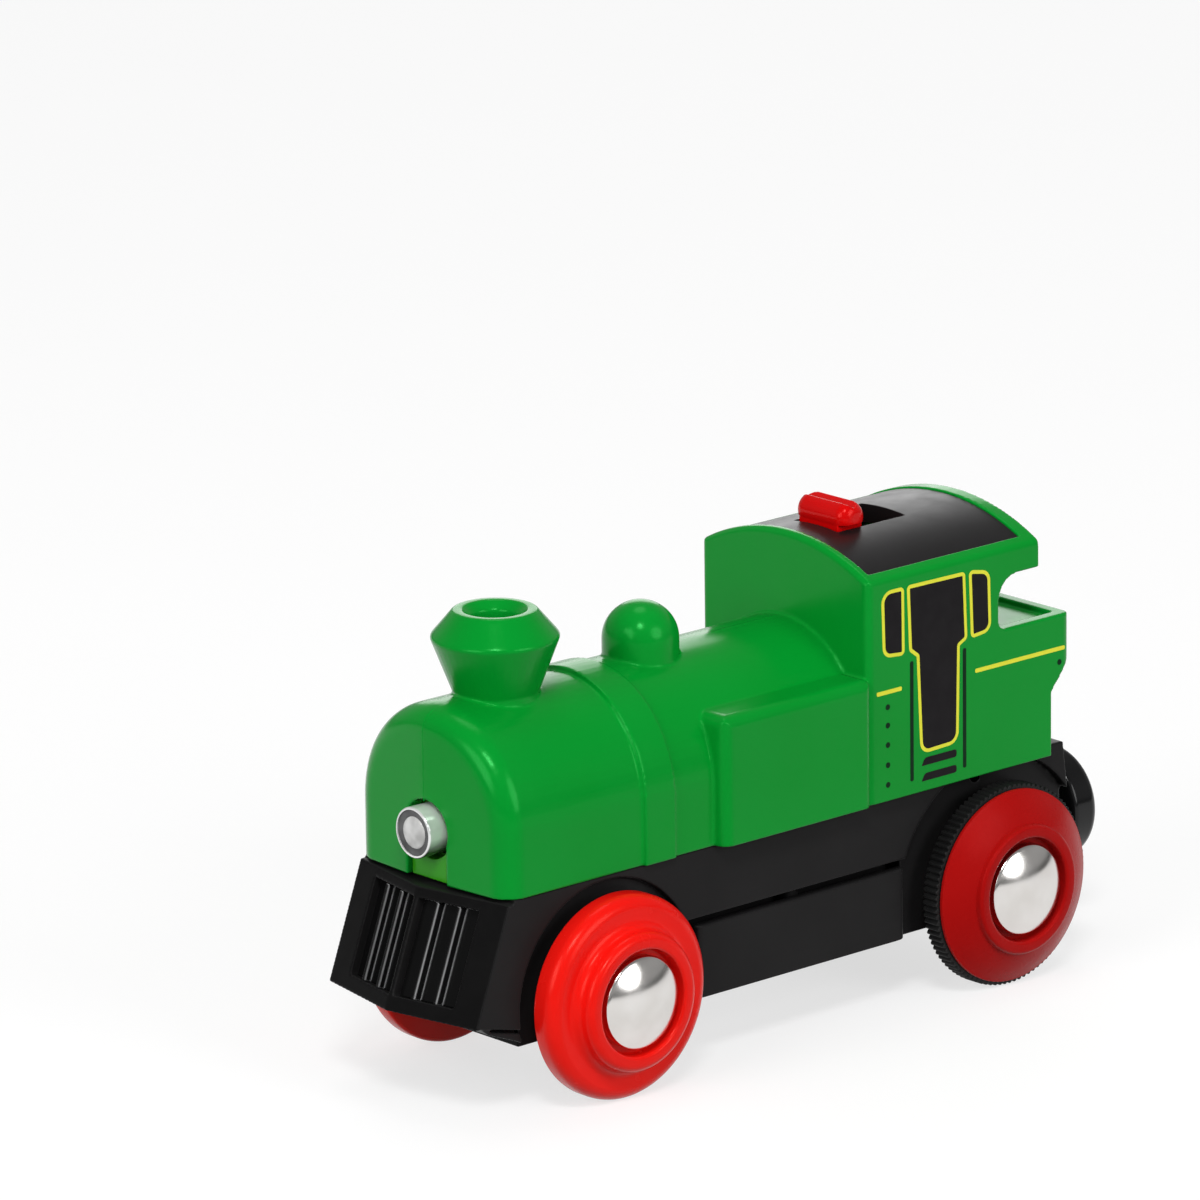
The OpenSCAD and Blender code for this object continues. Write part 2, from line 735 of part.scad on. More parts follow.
module switch_board() {
  color("#b58b4c")
    box(board_rear, board_front, -board_half_w, board_half_w, board_top - board_t, board_top);
}

// Side of the chassis as far as the plough, with the wheel arches cut out
module chassis_side_view() {
  top = plough_edge_x(seam_z);
  low = plough_edge_x(plough_low);
  tail = cab_rear_x - seat_gap;
  step_z = seam_z + 0.8;
  difference() {
    union() {
      translate([cab_rear_x, slit_top]) square([nose_x - wall - cab_rear_x, seam_z - slit_top]);
      polygon([[front_axle_x, seam_z], [top, seam_z], [low, plough_low], [low - 1.6, plough_low - 0.3],
        [low - 5.6, cheek_z], [front_axle_x, cheek_z]]);
      polygon([[cab_rear_x + 1, slit_top], [chassis_rear_x - 0.4, slit_top], [chassis_rear_x + 0.6, step_z],
        [tail, step_z], [tail, seam_z], [cab_rear_x + 1, seam_z]]);
    }
    wheel_arches();
  }
}

module wheel_arches() {
  translate([front_axle_x, wheel_r]) circle(arch_front_r);
  translate([rear_axle_x, tyre_r]) circle(arch_rear_r);
}

// Lip under the front cheeks, set in from their faces
module chin_view() {
  low = plough_edge_x(plough_low);
  difference() {
    polygon([[low, plough_low], [low - 1.2, plough_low - 0.9], [low - 5.2, floor_z + 1], [low - 7, floor_z],
      [front_axle_x, floor_z], [front_axle_x, plough_low + 2], [low - 2, plough_low + 2]]);
    wheel_arches();
  }
}

// Dark slit between a cheek and the lip, cut in from both sides
module chin_slit() {
  low = plough_edge_x(plough_low);
  across(chassis_half_w + 1) polygon([[low - 1.2, plough_low - 0.25], [low - 5.6, cheek_z + eps],
    [front_axle_x, cheek_z + eps], [front_axle_x, cheek_z - 0.4], [low - 5.6, cheek_z - 0.4],
    [low - 1.2, plough_low - 0.6]]);
}

// Face of the plough at a place and height
function plough_front_x(y, z) = tip_x - (z - plough_low) * tan(plough_lean) - y * tan(plough_v);
// Front edge of the chassis sides, a little inside the plough's outer corners
function plough_edge_x(z) = plough_front_x(chassis_half_w, z) - 0.6;

// Solid between the wheels, in one length
module tub(x0, x1) {
  box(x0, x1, -tub_half_w, tub_half_w, floor_z, seam_z);
}

// Room for the gears on the left of the battery
module gear_room(gap) {
  bar_y(rear_axle_x, tyre_r, pitch_r(teeth_axle) + addendum * gear_m + gap, gear_y0 - 0.3, gear_y1 + 0.3);
  bar_y(idler_x, idler_z, pitch_r(teeth_idler) + addendum * gear_m + gap, gear_y0 - 0.3, gear_y1 + 0.3);
}

module chassis() {
  tub_front = plough_edge_x(seam_z) - 1.2;
  color(plastic_black) difference() {
    union() {
      difference() {
        union() {
          across(chassis_half_w) chassis_side_view();
          across(chassis_half_w - chin_in) chin_view();
          tub(middle_x + cover_l / 2 + seat_gap, tub_front);
        }
        // Hollow behind the plough's windows
        box(front_post_x + post_r + 0.9, tip_x, -hollow_half_w, hollow_half_w,
          floor_z + 1.5, plough_top - ledge_t - 0.2);
        difference() {
          chin_slit();
          box(front_axle_x, tip_x, -tub_half_w, tub_half_w, floor_z, seam_z);
        }
      }
      difference() {
        plough_form();
        both_sides() plough_window(-grille_t - 1, 1, 0);
      }
      plough_ledge();
      tub(chassis_rear_x, middle_x - cover_l / 2 - seat_gap);
      // Walls beside the battery, and the bosses for the cover's screws
      both_sides() box(middle_x - cover_l / 2 - 1, middle_x + cover_l / 2 + 1, bay_half_w, bay_half_w + 0.8,
        floor_z + cover_t + seat_gap, slit_top + 1);
      both_sides() bar_z(middle_x, cover_screw_y, cover_boss_r, floor_z + cover_t, slit_top + 1);
      // Deck that locates the shell
      translate([0, 0, seam_z - eps]) linear_extrude(deck_t + eps)
        plate(cab_rear_x + wall + seat_gap, -inner_r + seat_gap, nose_x - wall - seat_gap, inner_r - seat_gap,
          [0, nose_round - wall, nose_round - wall, 0]);
      // Bulge round the gear on the rear axle
      bar_y(rear_axle_x, tyre_r, gear_bulge_r, gear_y0 - 1.1, tub_half_w);
    }
    // Battery bay, open downward
    box(bay_rear, bay_front, -bay_half_w, bay_half_w, 0, seam_z);
    gear_room(0.4);
    // Axle and bush bores
    for (a = [[front_axle_x, wheel_r], [rear_axle_x, tyre_r]]) {
      bar_y(a[0], a[1], axle_r + 0.4, -bush_in_y - 1, bush_in_y + 1);
      both_sides() bar_y(a[0], a[1], bush_r, bush_in_y, chassis_half_w + 1);
    }
    bar_y(idler_x, idler_z, pin_r, gear_y1, chassis_half_w + 1);
    // Screw wells, with the heads bearing on a step inside
    for (x = [front_post_x, rear_post_x]) {
      bar_z(x, 0, screw_head_r + 0.2, floor_z - 1, screw_head_z);
      bar_z(x, 0, screw_r + 0.1, screw_head_z - 1, deck_z + 1);
    }
    both_sides() bar_z(middle_x, cover_screw_y, cover_screw_r, floor_z, cover_top);
    // Slots for the contact tails
    for (x = [bay_front - contact_t - seat_gap, bay_rear])
      box(x, x + contact_t + seat_gap, -tail_half_w - seat_gap, tail_half_w + seat_gap,
        seam_z - 1, deck_z + 1);
    // Seat of the coupler's stalk
    bar_x(0, coupler_z, stalk_r + 0.02, chassis_rear_x - 3, chassis_rear_x + stalk_seat + 0.02);
    bar_x(0, coupler_z, pilot_r, chassis_rear_x, chassis_rear_x + stalk_seat + pilot_l + 0.2);
  }
}

// Puts a shape, drawn on the plough's left face from its lowest point, in its leaning place
module on_plough() {
  translate([tip_x, 0, plough_low]) rotate([0, 0, plough_v]) rotate([0, -lean_slab, 0]) children();
}

// Leaning wall of the plough, cut to its height and width, with a narrow flat down its middle
module plough_form() {
  intersection() {
    both_sides() intersection() {
      on_plough() box(-grille_t, 0, -20, 20, -10, 30);
      box(nose_x - 8, tip_x + 1, -eps, chassis_half_w, plough_low, plough_top);
    }
    translate([tip_x, 0, plough_low]) rotate([0, -plough_lean, 0]) box(-9, -ridge_flat, -20, 20, -10, 30);
  }
}

// Opening of the window in the left half of the plough, shrunk by a gap all round
module plough_window(back, front, gap) {
  intersection() {
    on_plough() box(back, front, -20, 20, frame_low + gap, slant_l - frame_top - gap);
    box(nose_x - 8, tip_x + 1, frame_inner + gap, window_w - gap, 0, seam_z);
  }
}

// Ledge on top of the plough, out from under the boiler's front
module plough_ledge() {
  front = plough_front_x(0, plough_top) - 0.6;
  corner = plough_front_x(tub_half_w, plough_top) - 0.6;
  back = plough_edge_x(seam_z) - 1;
  translate([0, 0, plough_top - ledge_t]) linear_extrude(ledge_t)
    polygon([[back, -tub_half_w], [corner, -tub_half_w], [front, 0], [corner, tub_half_w],
      [back, tub_half_w]]);
}

// Insert that closes the windows from behind, with round-nosed fins up to the plough's face
module plough_grille() {
  half_w = hollow_half_w - seat_gap;
  back = -grille_t - insert_gap;
  low = frame_low + fin_gap;
  high = slant_l - frame_top - fin_gap;
  nose = fin_t / 2;
  color(plastic_black) both_sides() {
    intersection() {
      on_plough() box(back - insert_t, back, -2, 2 * half_w, frame_low - 1, high);
      box(nose_x - 8, tip_x + 1, -eps, half_w, 0, plough_top);
    }
    plough_window(back - eps, -window_depth, insert_gap);
    for (y = [fin_pitch, 2 * fin_pitch])
      translate([tip_x - y * tan(plough_v), y, plough_low]) rotate([0, -plough_lean, 0]) {
        box(-grille_t, -nose, -nose, nose, low, high);
        bar_z(-nose, 0, nose, low, high);
      }
  }
}

// Trough under the battery, wide between the wheels and narrow between the axles
module battery_cover() {
  half_l = cover_l / 2;
  wide_in = chassis_half_w - 0.1 - cover_t;
  wide = chassis_half_w - 0.1;
  color(plastic_black) difference() {
    union() {
      difference() {
        translate([middle_x, 0, floor_z]) linear_extrude(cover_top - floor_z)
          plate(-half_l, -wide, half_l, wide, [0.8, 0.8, 0.8, 0.8]);
        box(middle_x - half_l - 1, middle_x + half_l + 1, -wide_in, wide_in,
          floor_z + cover_t, cover_top + 1);
      }
      box(bay_rear + seat_gap, bay_front - seat_gap, -bay_half_w + 2 * seat_gap, bay_half_w - 2 * seat_gap,
        floor_z, floor_z + cover_t);
    }
    both_sides() {
      bar_z(middle_x, cover_screw_y, cover_screw_r + 0.1, 0, cover_top);
      bar_z(middle_x, cover_screw_y, cover_screw_r + 0.6, 0, floor_z + 0.6);
    }
  }
}

module cover_screws() {
  color(steel) both_sides() {
    bar_z(middle_x, cover_screw_y, cover_screw_r + 0.5, floor_z + 0.1, floor_z + 0.6);
    bar_z(middle_x, cover_screw_y, cover_screw_r, floor_z + 0.6, floor_z + 5);
  }
}

module body_screws() {
  color(steel) for (x = [front_post_x, rear_post_x]) {
    bar_z(x, 0, screw_head_r, screw_head_z - 1, screw_head_z);
    bar_z(x, 0, screw_r, screw_head_z, deck_z + 7);
  }
}

module battery_cell() {
  nub = 1.2;
  x0 = middle_x - cell_l / 2;
  x1 = middle_x + cell_l / 2;
  color("#c8963c") {
    bar_x(0, cell_z, cell_r, x0 + 0.4, x1 - nub);
    bar_x(0, cell_z, cell_r - 2, x0, x0 + 0.5);
    bar_x(0, cell_z, 2.7, x1 - nub - 0.1, x1);
  }
}

// Front contact, with a tail up through the deck and a strip back to the switch
module contact_positive() {
  x0 = bay_front - contact_t - seat_gap;
  strip_z = deck_z + seat_gap;
  riser_x = cab_inner_x - 0.8;
  color(steel) {
    box(x0, x0 + contact_t, -contact_half_w, contact_half_w, bulkhead_z, seam_z - 0.5);
    box(x0, x0 + contact_t, -tail_half_w, tail_half_w, bulkhead_z, strip_z + contact_t);
    box(riser_x, x0 + contact_t, -tail_half_w, tail_half_w, strip_z, strip_z + contact_t);
    box(riser_x, riser_x + contact_t, -tail_half_w, tail_half_w, strip_z, board_top - board_t);
  }
}

// Rear contact, with a tail up to the motor's can
module contact_negative() {
  x0 = bay_rear + seat_gap;
  lug_z = motor_z - 2;
  color(steel) {
    box(x0, x0 + contact_t, -contact_half_w, contact_half_w, bulkhead_z, seam_z - 0.5);
    box(x0, x0 + contact_t, -tail_half_w, tail_half_w, bulkhead_z, lug_z);
    box(x0, motor_x - motor_half_x, -tail_half_w, tail_half_w, lug_z - contact_t, lug_z);
  }
}

module motor_outline(half_x, half_z) {
  intersection() {
    translate([-half_x, -half_z]) square([2 * half_x, 2 * half_z]);
    circle(half_x);
  }
}

module motor_can() {
  y0 = plate_in_y0 - motor_can_l;
  color(steel) difference() {
    union() {
      translate([motor_x, plate_in_y0, motor_z]) rotate([90, 0, 0]) linear_extrude(motor_can_l)
        motor_outline(motor_half_x, motor_half_z);
      bar_y(motor_x, motor_z, 2, plate_in_y0 - eps, plate_in_y0 + 0.7);
    }
    bar_y(motor_x, motor_z, pin_r + run_gap, y0 - 1, plate_in_y1 + 1);
  }
}

module motor_end_cap() {
  y1 = plate_in_y0 - motor_can_l;
  color(nylon) difference() {
    translate([motor_x, y1, motor_z]) rotate([90, 0, 0]) linear_extrude(motor_cap_l)
      motor_outline(motor_half_x - 0.3, motor_half_z - 0.3);
    bar_y(motor_x, motor_z, pin_r + run_gap, y1 - 2, y1 + 1);
  }
}

// Strip between the switch board and the motor's end cap
module motor_lead() {
  y1 = plate_in_y0 - motor_can_l - 0.6;
  color(brass) box(motor_x - 1, motor_x + 1, y1 - contact_t, y1,
    motor_z + motor_half_z - 0.3, board_top - board_t);
}

module motor_shaft() {
  color(steel) bar_y(motor_x, motor_z, pin_r, plate_in_y0 - motor_can_l - 1.8, shaft_end_y);
}

module motor_pinion() {
  color(brass) difference() {
    gear(teeth_pinion, motor_x, motor_z, large_y0 - 0.1, large_y1 + 0.1, pinion_phase);
    bar_y(motor_x, motor_z, pin_r, large_y0 - 1, large_y1 + 1);
  }
}

// Two upright plates on the deck that carry the motor and the reduction gear
module gear_frame() {
  color(plastic_black) difference() {
    union() {
      box(plate_rear_x, plate_front_x, plate_in_y0, plate_in_y1, deck_z, small_z + 4);
      box(small_x - 1.2, plate_front_x, plate_in_y0, plate_in_y1, deck_z, plate_top);
      box(plate_rear_x, plate_front_x, plate_out_y0, plate_out_y1, deck_z, small_z + 4);
      box(motor_x + 1, plate_front_x, plate_in_y0, plate_out_y1, deck_z, deck_z + 1.2);
    }
    bar_y(motor_x, motor_z, 2.1, plate_in_y0 - 1, plate_in_y1 + 1);
    bar_y(small_x, small_z, pin_r, plate_in_y0 - 1, plate_out_y1 + 1);
    gear_room(0.5);
  }
}

// Large and small gear in one piece, loose on a fixed shaft
module reduction_gear() {
  color(nylon) difference() {
    union() {
      gear(teeth_large, small_x, small_z, large_y0, large_y1, small_phase);
      gear(teeth_small, small_x, small_z, gear_y0 - 0.05, gear_y1, small_phase);
      bar_y(small_x, small_z, 1.3, plate_in_y1 + 0.1, plate_out_y0 - 0.1);
    }
    bar_y(small_x, small_z, pin_r + run_gap, 0, chassis_half_w);
  }
}

module reduction_shaft() {
  color(steel) bar_y(small_x, small_z, pin_r, plate_in_y0 + 0.1, plate_out_y1);
}

module idler_gear() {
  color(nylon) difference() {
    gear(teeth_idler, idler_x, idler_z, gear_y0, gear_y1, idler_phase);
    bar_y(idler_x, idler_z, pin_r + run_gap, 0, chassis_half_w);
  }
}

module idler_pin() {
  color(steel) {
    bar_y(idler_x, idler_z, pin_r, gear_y0 - 0.1, tub_half_w);
    bar_y(idler_x, idler_z, pin_r + 0.5, gear_y0 - 0.25, gear_y0 - 0.1);
  }
}

module axle_gear() {
  color(nylon) difference() {
    gear(teeth_axle, rear_axle_x, tyre_r, gear_y0, gear_y1, 0);
    bar_y(rear_axle_x, tyre_r, axle_r, 0, chassis_half_w);
  }
}

module axle(x, z) {
  color(steel) bar_y(x, z, axle_r, -axle_end_y, axle_end_y);
}

module rear_axle() axle(rear_axle_x, tyre_r);
module front_axle() axle(front_axle_x, wheel_r);

// Plain bushes in the chassis walls, a pair for each axle
module bushes(x, z) {
  color(nylon) both_sides() difference() {
    bar_y(x, z, bush_r, bush_in_y, bush_out_y);
    bar_y(x, z, axle_r + run_gap, 0, wheel_in_y);
  }
}

module rear_bushes() bushes(rear_axle_x, tyre_r);
module front_bushes() bushes(front_axle_x, wheel_r);

// Recess in a hub, with a softened lip
module hub_recess() {
  soft = 0.35;
  plate(0, recess_y, recess_r, hub_y + 1, [0, 0.3, 0, 0]);
  difference() {
    translate([recess_r - eps, hub_y - soft]) square([soft + eps, soft + eps]);
    translate([recess_r + soft, hub_y - soft]) circle(soft);
  }
}

// Front wheel: rounded rim, a shallow valley and a raised hub round a deep recess
module front_wheel() {
  face_y = wheel_in_y + rim_w;
  rim_round = 1.4;
  fillet = 0.9;
  color(wheel_red) turned(front_axle_x, wheel_r) difference() {
    union() {
      plate(axle_r, wheel_in_y, wheel_r, face_y, [0, 0.4, rim_round, 0]);
      plate(axle_r, wheel_in_y, hub_r, hub_y, [0, 0, 0.8, 0]);
      difference() {
        translate([hub_r - 0.5, face_y - 0.5]) square([fillet + 0.5, fillet + 0.5]);
        translate([hub_r + fillet, face_y + fillet]) circle(fillet);
      }
    }
    hub_recess();
  }
}

// Rear wheel: a coned disc with a groove behind it for the tyre
module rear_wheel() {
  flange_y = wheel_in_y + tyre_w + 0.2;
  flange_r = tyre_r - 0.4;
  cone_y = hub_y - 0.8;
  color(wheel_red) turned(rear_axle_x, tyre_r) difference() {
    union() {
      polygon([[axle_r, wheel_in_y], [tyre_seat_r, wheel_in_y], [tyre_seat_r, flange_y], [flange_r, flange_y],
        [flange_r, flange_y + 0.45], [rear_hub_r + 0.35, cone_y], [axle_r, cone_y]]);
      plate(axle_r, wheel_in_y, rear_hub_r, hub_y, [0, 0, 0.4, 0]);
    }
    hub_recess();
  }
}

// Ribbed rubber tyre
module tyre() {
  depth = 0.3;
  step = 360 / tyre_ribs;
  outer = [for (i = [0:tyre_ribs - 1]) each [
    polar(tyre_r, -90 + step * (i - 0.25)), polar(tyre_r, -90 + step * (i + 0.2)),
    polar(tyre_r - depth, -90 + step * (i + 0.4)), polar(tyre_r - depth, -90 + step * (i + 0.6))]];
  color("#161617") difference() {
    translate([rear_axle_x, wheel_in_y + tyre_w + 0.15, tyre_r]) rotate([90, 0, 0])
      linear_extrude(tyre_w) polygon(outer);
    bar_y(rear_axle_x, tyre_r, tyre_seat_r, wheel_in_y - 1, hub_y);
  }
}

// Domed cap on the end of an axle
module cap(x, z) {
  rise = cap_y - recess_y - cap_skirt;
  dome = (cap_r * cap_r + rise * rise) / (2 * rise);
  color(steel) turned(x, z) difference() {
    union() {
      translate([0, recess_y]) square([cap_r, cap_skirt]);
      intersection() {
        translate([0, cap_y - dome]) circle(dome, $fn = 128);
        translate([0, recess_y + cap_skirt - eps]) square([cap_r, rise + 1]);
      }
    }
    translate([0, recess_y - 1]) square([axle_r, axle_end_y - recess_y + 1]);
  }
}

module rear_wheel_left() rear_wheel();
module rear_wheel_right() mirror([0, 1, 0]) rear_wheel();
module rear_tyre_left() tyre();
module rear_tyre_right() mirror([0, 1, 0]) tyre();
module rear_cap_left() cap(rear_axle_x, tyre_r);
module rear_cap_right() mirror([0, 1, 0]) cap(rear_axle_x, tyre_r);
module front_wheel_left() front_wheel();
module front_wheel_right() mirror([0, 1, 0]) front_wheel();
module front_cap_left() cap(front_axle_x, wheel_r);
module front_cap_right() mirror([0, 1, 0]) cap(front_axle_x, wheel_r);

// Round head on a stalk that is seated in the rear of the chassis
module coupler_head() {
  color(plastic_black) difference() {
    union() {
      translate([0, 0, coupler_z]) rotate([0, -90, 0]) rotate_extrude()
        plate(0, -coupler_x - coupler_t, coupler_r, -coupler_x, [0, 0.6, 1.3, 0]);
      bar_x(0, coupler_z, stalk_r + 1.2, coupler_x + coupler_t - eps, chassis_rear_x);
      bar_x(0, coupler_z, stalk_r, chassis_rear_x - eps, chassis_rear_x + stalk_seat);
    }
    bar_x(0, coupler_z, magnet_r, coupler_x - 1, coupler_x + magnet_t);
    bar_x(0, coupler_z, pilot_r, coupler_x, chassis_rear_x + stalk_seat + 1);
    bar_x(0, coupler_z, coupler_screw_r + seat_gap, coupler_x, coupler_screw_x);
  }
}

module coupler_magnet() {
  color(steel) bar_x(0, coupler_z, magnet_r, coupler_x, coupler_x + magnet_t);
}

// Screw along the stalk, behind the magnet
module coupler_screw() {
  color(steel) {
    bar_x(0, coupler_z, coupler_screw_r, coupler_screw_x - coupler_screw_t, coupler_screw_x);
    bar_x(0, coupler_z, pilot_r, coupler_screw_x, chassis_rear_x + stalk_seat + pilot_l);
  }
}

body_shell();
roof_panel();
lamp_holder();
lamp_lens();
lamp_led();
switch_knob();
switch_wiper();
switch_board();
chassis();
plough_grille();
battery_cover();
cover_screws();
body_screws();
battery_cell();
contact_positive();
contact_negative();
motor_can();
motor_end_cap();
motor_lead();
motor_shaft();
motor_pinion();
gear_frame();
reduction_gear();
reduction_shaft();
idler_gear();
idler_pin();
axle_gear();
rear_axle();
rear_wheel_left();
rear_wheel_right();
rear_tyre_left();
rear_tyre_right();
rear_cap_left();
rear_cap_right();
rear_bushes();
front_axle();
front_wheel_left();
front_wheel_right();
front_cap_left();
front_cap_right();
front_bushes();
coupler_head();
coupler_magnet();
coupler_screw();
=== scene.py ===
import math
import bmesh
import bpy
from mathutils import Matrix, Vector


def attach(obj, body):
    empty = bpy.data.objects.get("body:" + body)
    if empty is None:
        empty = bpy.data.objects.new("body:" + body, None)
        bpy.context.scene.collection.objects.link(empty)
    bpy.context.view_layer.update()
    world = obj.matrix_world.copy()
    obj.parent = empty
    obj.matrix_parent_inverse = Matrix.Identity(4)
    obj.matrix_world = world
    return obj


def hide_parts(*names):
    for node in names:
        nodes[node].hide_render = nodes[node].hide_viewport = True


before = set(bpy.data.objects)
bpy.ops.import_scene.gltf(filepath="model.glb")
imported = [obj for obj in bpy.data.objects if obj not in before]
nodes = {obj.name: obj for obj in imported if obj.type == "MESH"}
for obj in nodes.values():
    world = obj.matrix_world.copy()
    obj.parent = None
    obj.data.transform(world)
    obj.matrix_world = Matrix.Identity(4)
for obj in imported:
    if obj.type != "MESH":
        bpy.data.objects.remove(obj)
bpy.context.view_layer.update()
mm = 0.001
print("frame loaded:", len(nodes), "solids")


# materials

noiseSpan = (0.3, 0.7)  # most of a noise's values lie in here
# normal ranges that place painted shade on faces looking forward, down or sideways
facings = dict(front=("X", 0.5, 0.8), under=("Z", -0.7, -0.1), side=("X", 0.05, 0.3))  # axis, start, end


def startMaterial(name):
    material = bpy.data.materials.new(name)
    material.use_nodes = True
    tree = material.node_tree
    shader = tree.nodes["Principled BSDF"]
    coords = tree.nodes.new("ShaderNodeTexCoord")
    millimetres = tree.nodes.new("ShaderNodeMapping")  # texture space in millimetres
    millimetres.inputs["Scale"].default_value = (1 / mm, 1 / mm, 1 / mm)
    tree.links.new(coords.outputs["Object"], millimetres.inputs["Vector"])
    return material, tree, shader, millimetres.outputs["Vector"]


def addNoise(tree, vector, scale, detail, stretch=None):
    if stretch:
        squeeze = tree.nodes.new("ShaderNodeMapping")
        squeeze.inputs["Scale"].default_value = stretch
        tree.links.new(vector, squeeze.inputs["Vector"])
        vector = squeeze.outputs["Vector"]
    noise = tree.nodes.new("ShaderNodeTexNoise")
    noise.inputs["Scale"].default_value = scale
    noise.inputs["Detail"].default_value = detail
    tree.links.new(vector, noise.inputs["Vector"])
    return noise.outputs["Fac"]


def addRange(tree, value, low, high, span=noiseSpan):
    spread = tree.nodes.new("ShaderNodeMapRange")
    spread.inputs["From Min"].default_value = span[0]
    spread.inputs["From Max"].default_value = span[1]
    spread.inputs["To Min"].default_value = low
    spread.inputs["To Max"].default_value = high
    tree.links.new(value, spread.inputs["Value"])
    return spread.outputs["Result"]


def addBlend(tree, value, colourA, colourB):
    ramp = tree.nodes.new("ShaderNodeValToRGB")
    first, last = ramp.color_ramp.elements
    first.position, last.position = noiseSpan
    first.color = (*colourA, 1)
    last.color = (*colourB, 1)
    tree.links.new(value, ramp.inputs["Fac"])
    return ramp.outputs["Color"]


def addBump(tree, shader, height, depth):
    bump = tree.nodes.new("ShaderNodeBump")
    bump.inputs["Strength"].default_value = 1
    bump.inputs["Distance"].default_value = depth * mm
    tree.links.new(height, bump.inputs["Height"])
    tree.links.new(bump.outputs["Normal"], shader.inputs["Normal"])


def addFacing(tree, way, low, high):  # a value that follows the way a face looks
    axis, start, end = facings[way]
    surface = tree.nodes.new("ShaderNodeNewGeometry")
    split = tree.nodes.new("ShaderNodeSeparateXYZ")
    tree.links.new(surface.outputs["Normal"], split.inputs["Vector"])
    return addRange(tree, split.outputs[axis], low, high, (start, end))


# scales a colour down by a facing value: painted shade
def addPaintedShade(tree, colour, amount):
    scale = tree.nodes.new("ShaderNodeVectorMath")
    scale.operation = "SCALE"
    tree.links.new(colour, scale.inputs["Vector"])
    tree.links.new(amount, scale.inputs["Scale"])
    return scale.outputs["Vector"]


def plasticMaterial(name, look):
    material, tree, shader, place = startMaterial(name)
    flow = addNoise(tree, place, look["flowScale"], detail=2, stretch=look.get("flowStretch"))
    colour = addBlend(tree, flow, look["colour"], look["tint"])
    # painted shade: the colour darkened on faces that look forward, down or sideways
    if "frontShade" in look:
        colour = addPaintedShade(tree, colour, addFacing(tree, "front", 1, look["frontShade"]))
    if "lowShade" in look:
        colour = addPaintedShade(tree, colour, addFacing(tree, "under", look["lowShade"], 1))
    if "sideShade" in look:
        colour = addPaintedShade(tree, colour, addFacing(tree, "side", look["sideShade"], 1))
    tree.links.new(colour, shader.inputs["Base Color"])
    sheen = addNoise(tree, place, look["sheenScale"], detail=4)
    tree.links.new(addRange(tree, sheen, look["smooth"], look["rough"]), shader.inputs["Roughness"])
    addBump(tree, shader, addNoise(tree, place, look["peelScale"], detail=2), look["peelDepth"])
    shader.inputs["Metallic"].default_value = look.get("metal", 0)
    shader.inputs["Specular IOR Level"].default_value = look.get("gloss", 0.5)
    shader.inputs["Specular Tint"].default_value = (*look.get("shine", (1, 1, 1)), 1)
    if "frontGloss" in look:
        facing = addFacing(tree, "front", look["gloss"], look["frontGloss"])
        tree.links.new(facing, shader.inputs["Specular IOR Level"])
    return material


def metalMaterial(name, look):
    material, tree, shader, place = startMaterial(name)
    smear = addNoise(tree, place, look["smearScale"], detail=4)
    tree.links.new(addBlend(tree, smear, look["colour"], look["tint"]), shader.inputs["Base Color"])
    tree.links.new(addRange(tree, smear, look["smooth"], look["rough"]), shader.inputs["Roughness"])
    addBump(tree, shader, addNoise(tree, place, look["grainScale"], detail=3), look["grainDepth"])
    shader.inputs["Metallic"].default_value = 1
    return material


# colour and tint mix in slow patches, smooth and rough are the ends of the roughness,
# peel and grain are the fine waves of the surface, with their depth in millimetres

# frontShade, lowShade and sideShade are painted shade: the share of the colour left on faces that look
# forward, down or sideways
greenLook = dict(colour=(0.0006, 0.262, 0.021), tint=(0.0020, 0.282, 0.027), flowScale=0.045,
                 sheenScale=0.35, smooth=0.17, rough=0.25, peelScale=0.9, peelDepth=0.002,
                 gloss=0.30, shine=(0.16, 1.0, 0.30))
tongueLook = dict(greenLook, colour=(0.034, 0.300, 0.008), tint=(0.042, 0.325, 0.011))
roofLook = dict(colour=(0.0070, 0.0062, 0.0066), tint=(0.0100, 0.0090, 0.0095), flowScale=0.08,
                sheenScale=0.4, smooth=0.30, rough=0.38, peelScale=0.5, peelDepth=0.002, gloss=0.28)
# black plastic darkened on faces that look forward: painted shade
blackLook = dict(colour=(0.0128, 0.0124, 0.0127), tint=(0.0160, 0.0155, 0.0159), flowScale=0.1,
                 sheenScale=0.6, smooth=0.28, rough=0.40, peelScale=1.6, peelDepth=0.003,
                 gloss=0.06, frontShade=0.35)
glossLook = dict(colour=(0.0050, 0.0050, 0.0053), tint=(0.0070, 0.0070, 0.0074), flowScale=0.1,
                 sheenScale=0.6, smooth=0.12, rough=0.20, peelScale=1.2, peelDepth=0.002, gloss=0.25)
# pale grey left only on faces between forward and sideways, the fins' rounded edges: painted highlight;
# forward and sideways faces darkened nearly to black: painted shade; forward faces also keep little gloss
grilleGlintLook = dict(glossLook, colour=(0.20, 0.20, 0.205), tint=(0.28, 0.28, 0.285), smooth=0.10, rough=0.16,
                  gloss=1.0, frontGloss=0.08, frontShade=0.018, sideShade=0.03)
redLook = dict(colour=(0.820, 0.0070, 0.0042), tint=(0.870, 0.0100, 0.0062), flowScale=0.09,
               sheenScale=0.5, smooth=0.20, rough=0.28, peelScale=0.9, peelDepth=0.002,
               gloss=0.36, shine=(1.0, 0.26, 0.20))
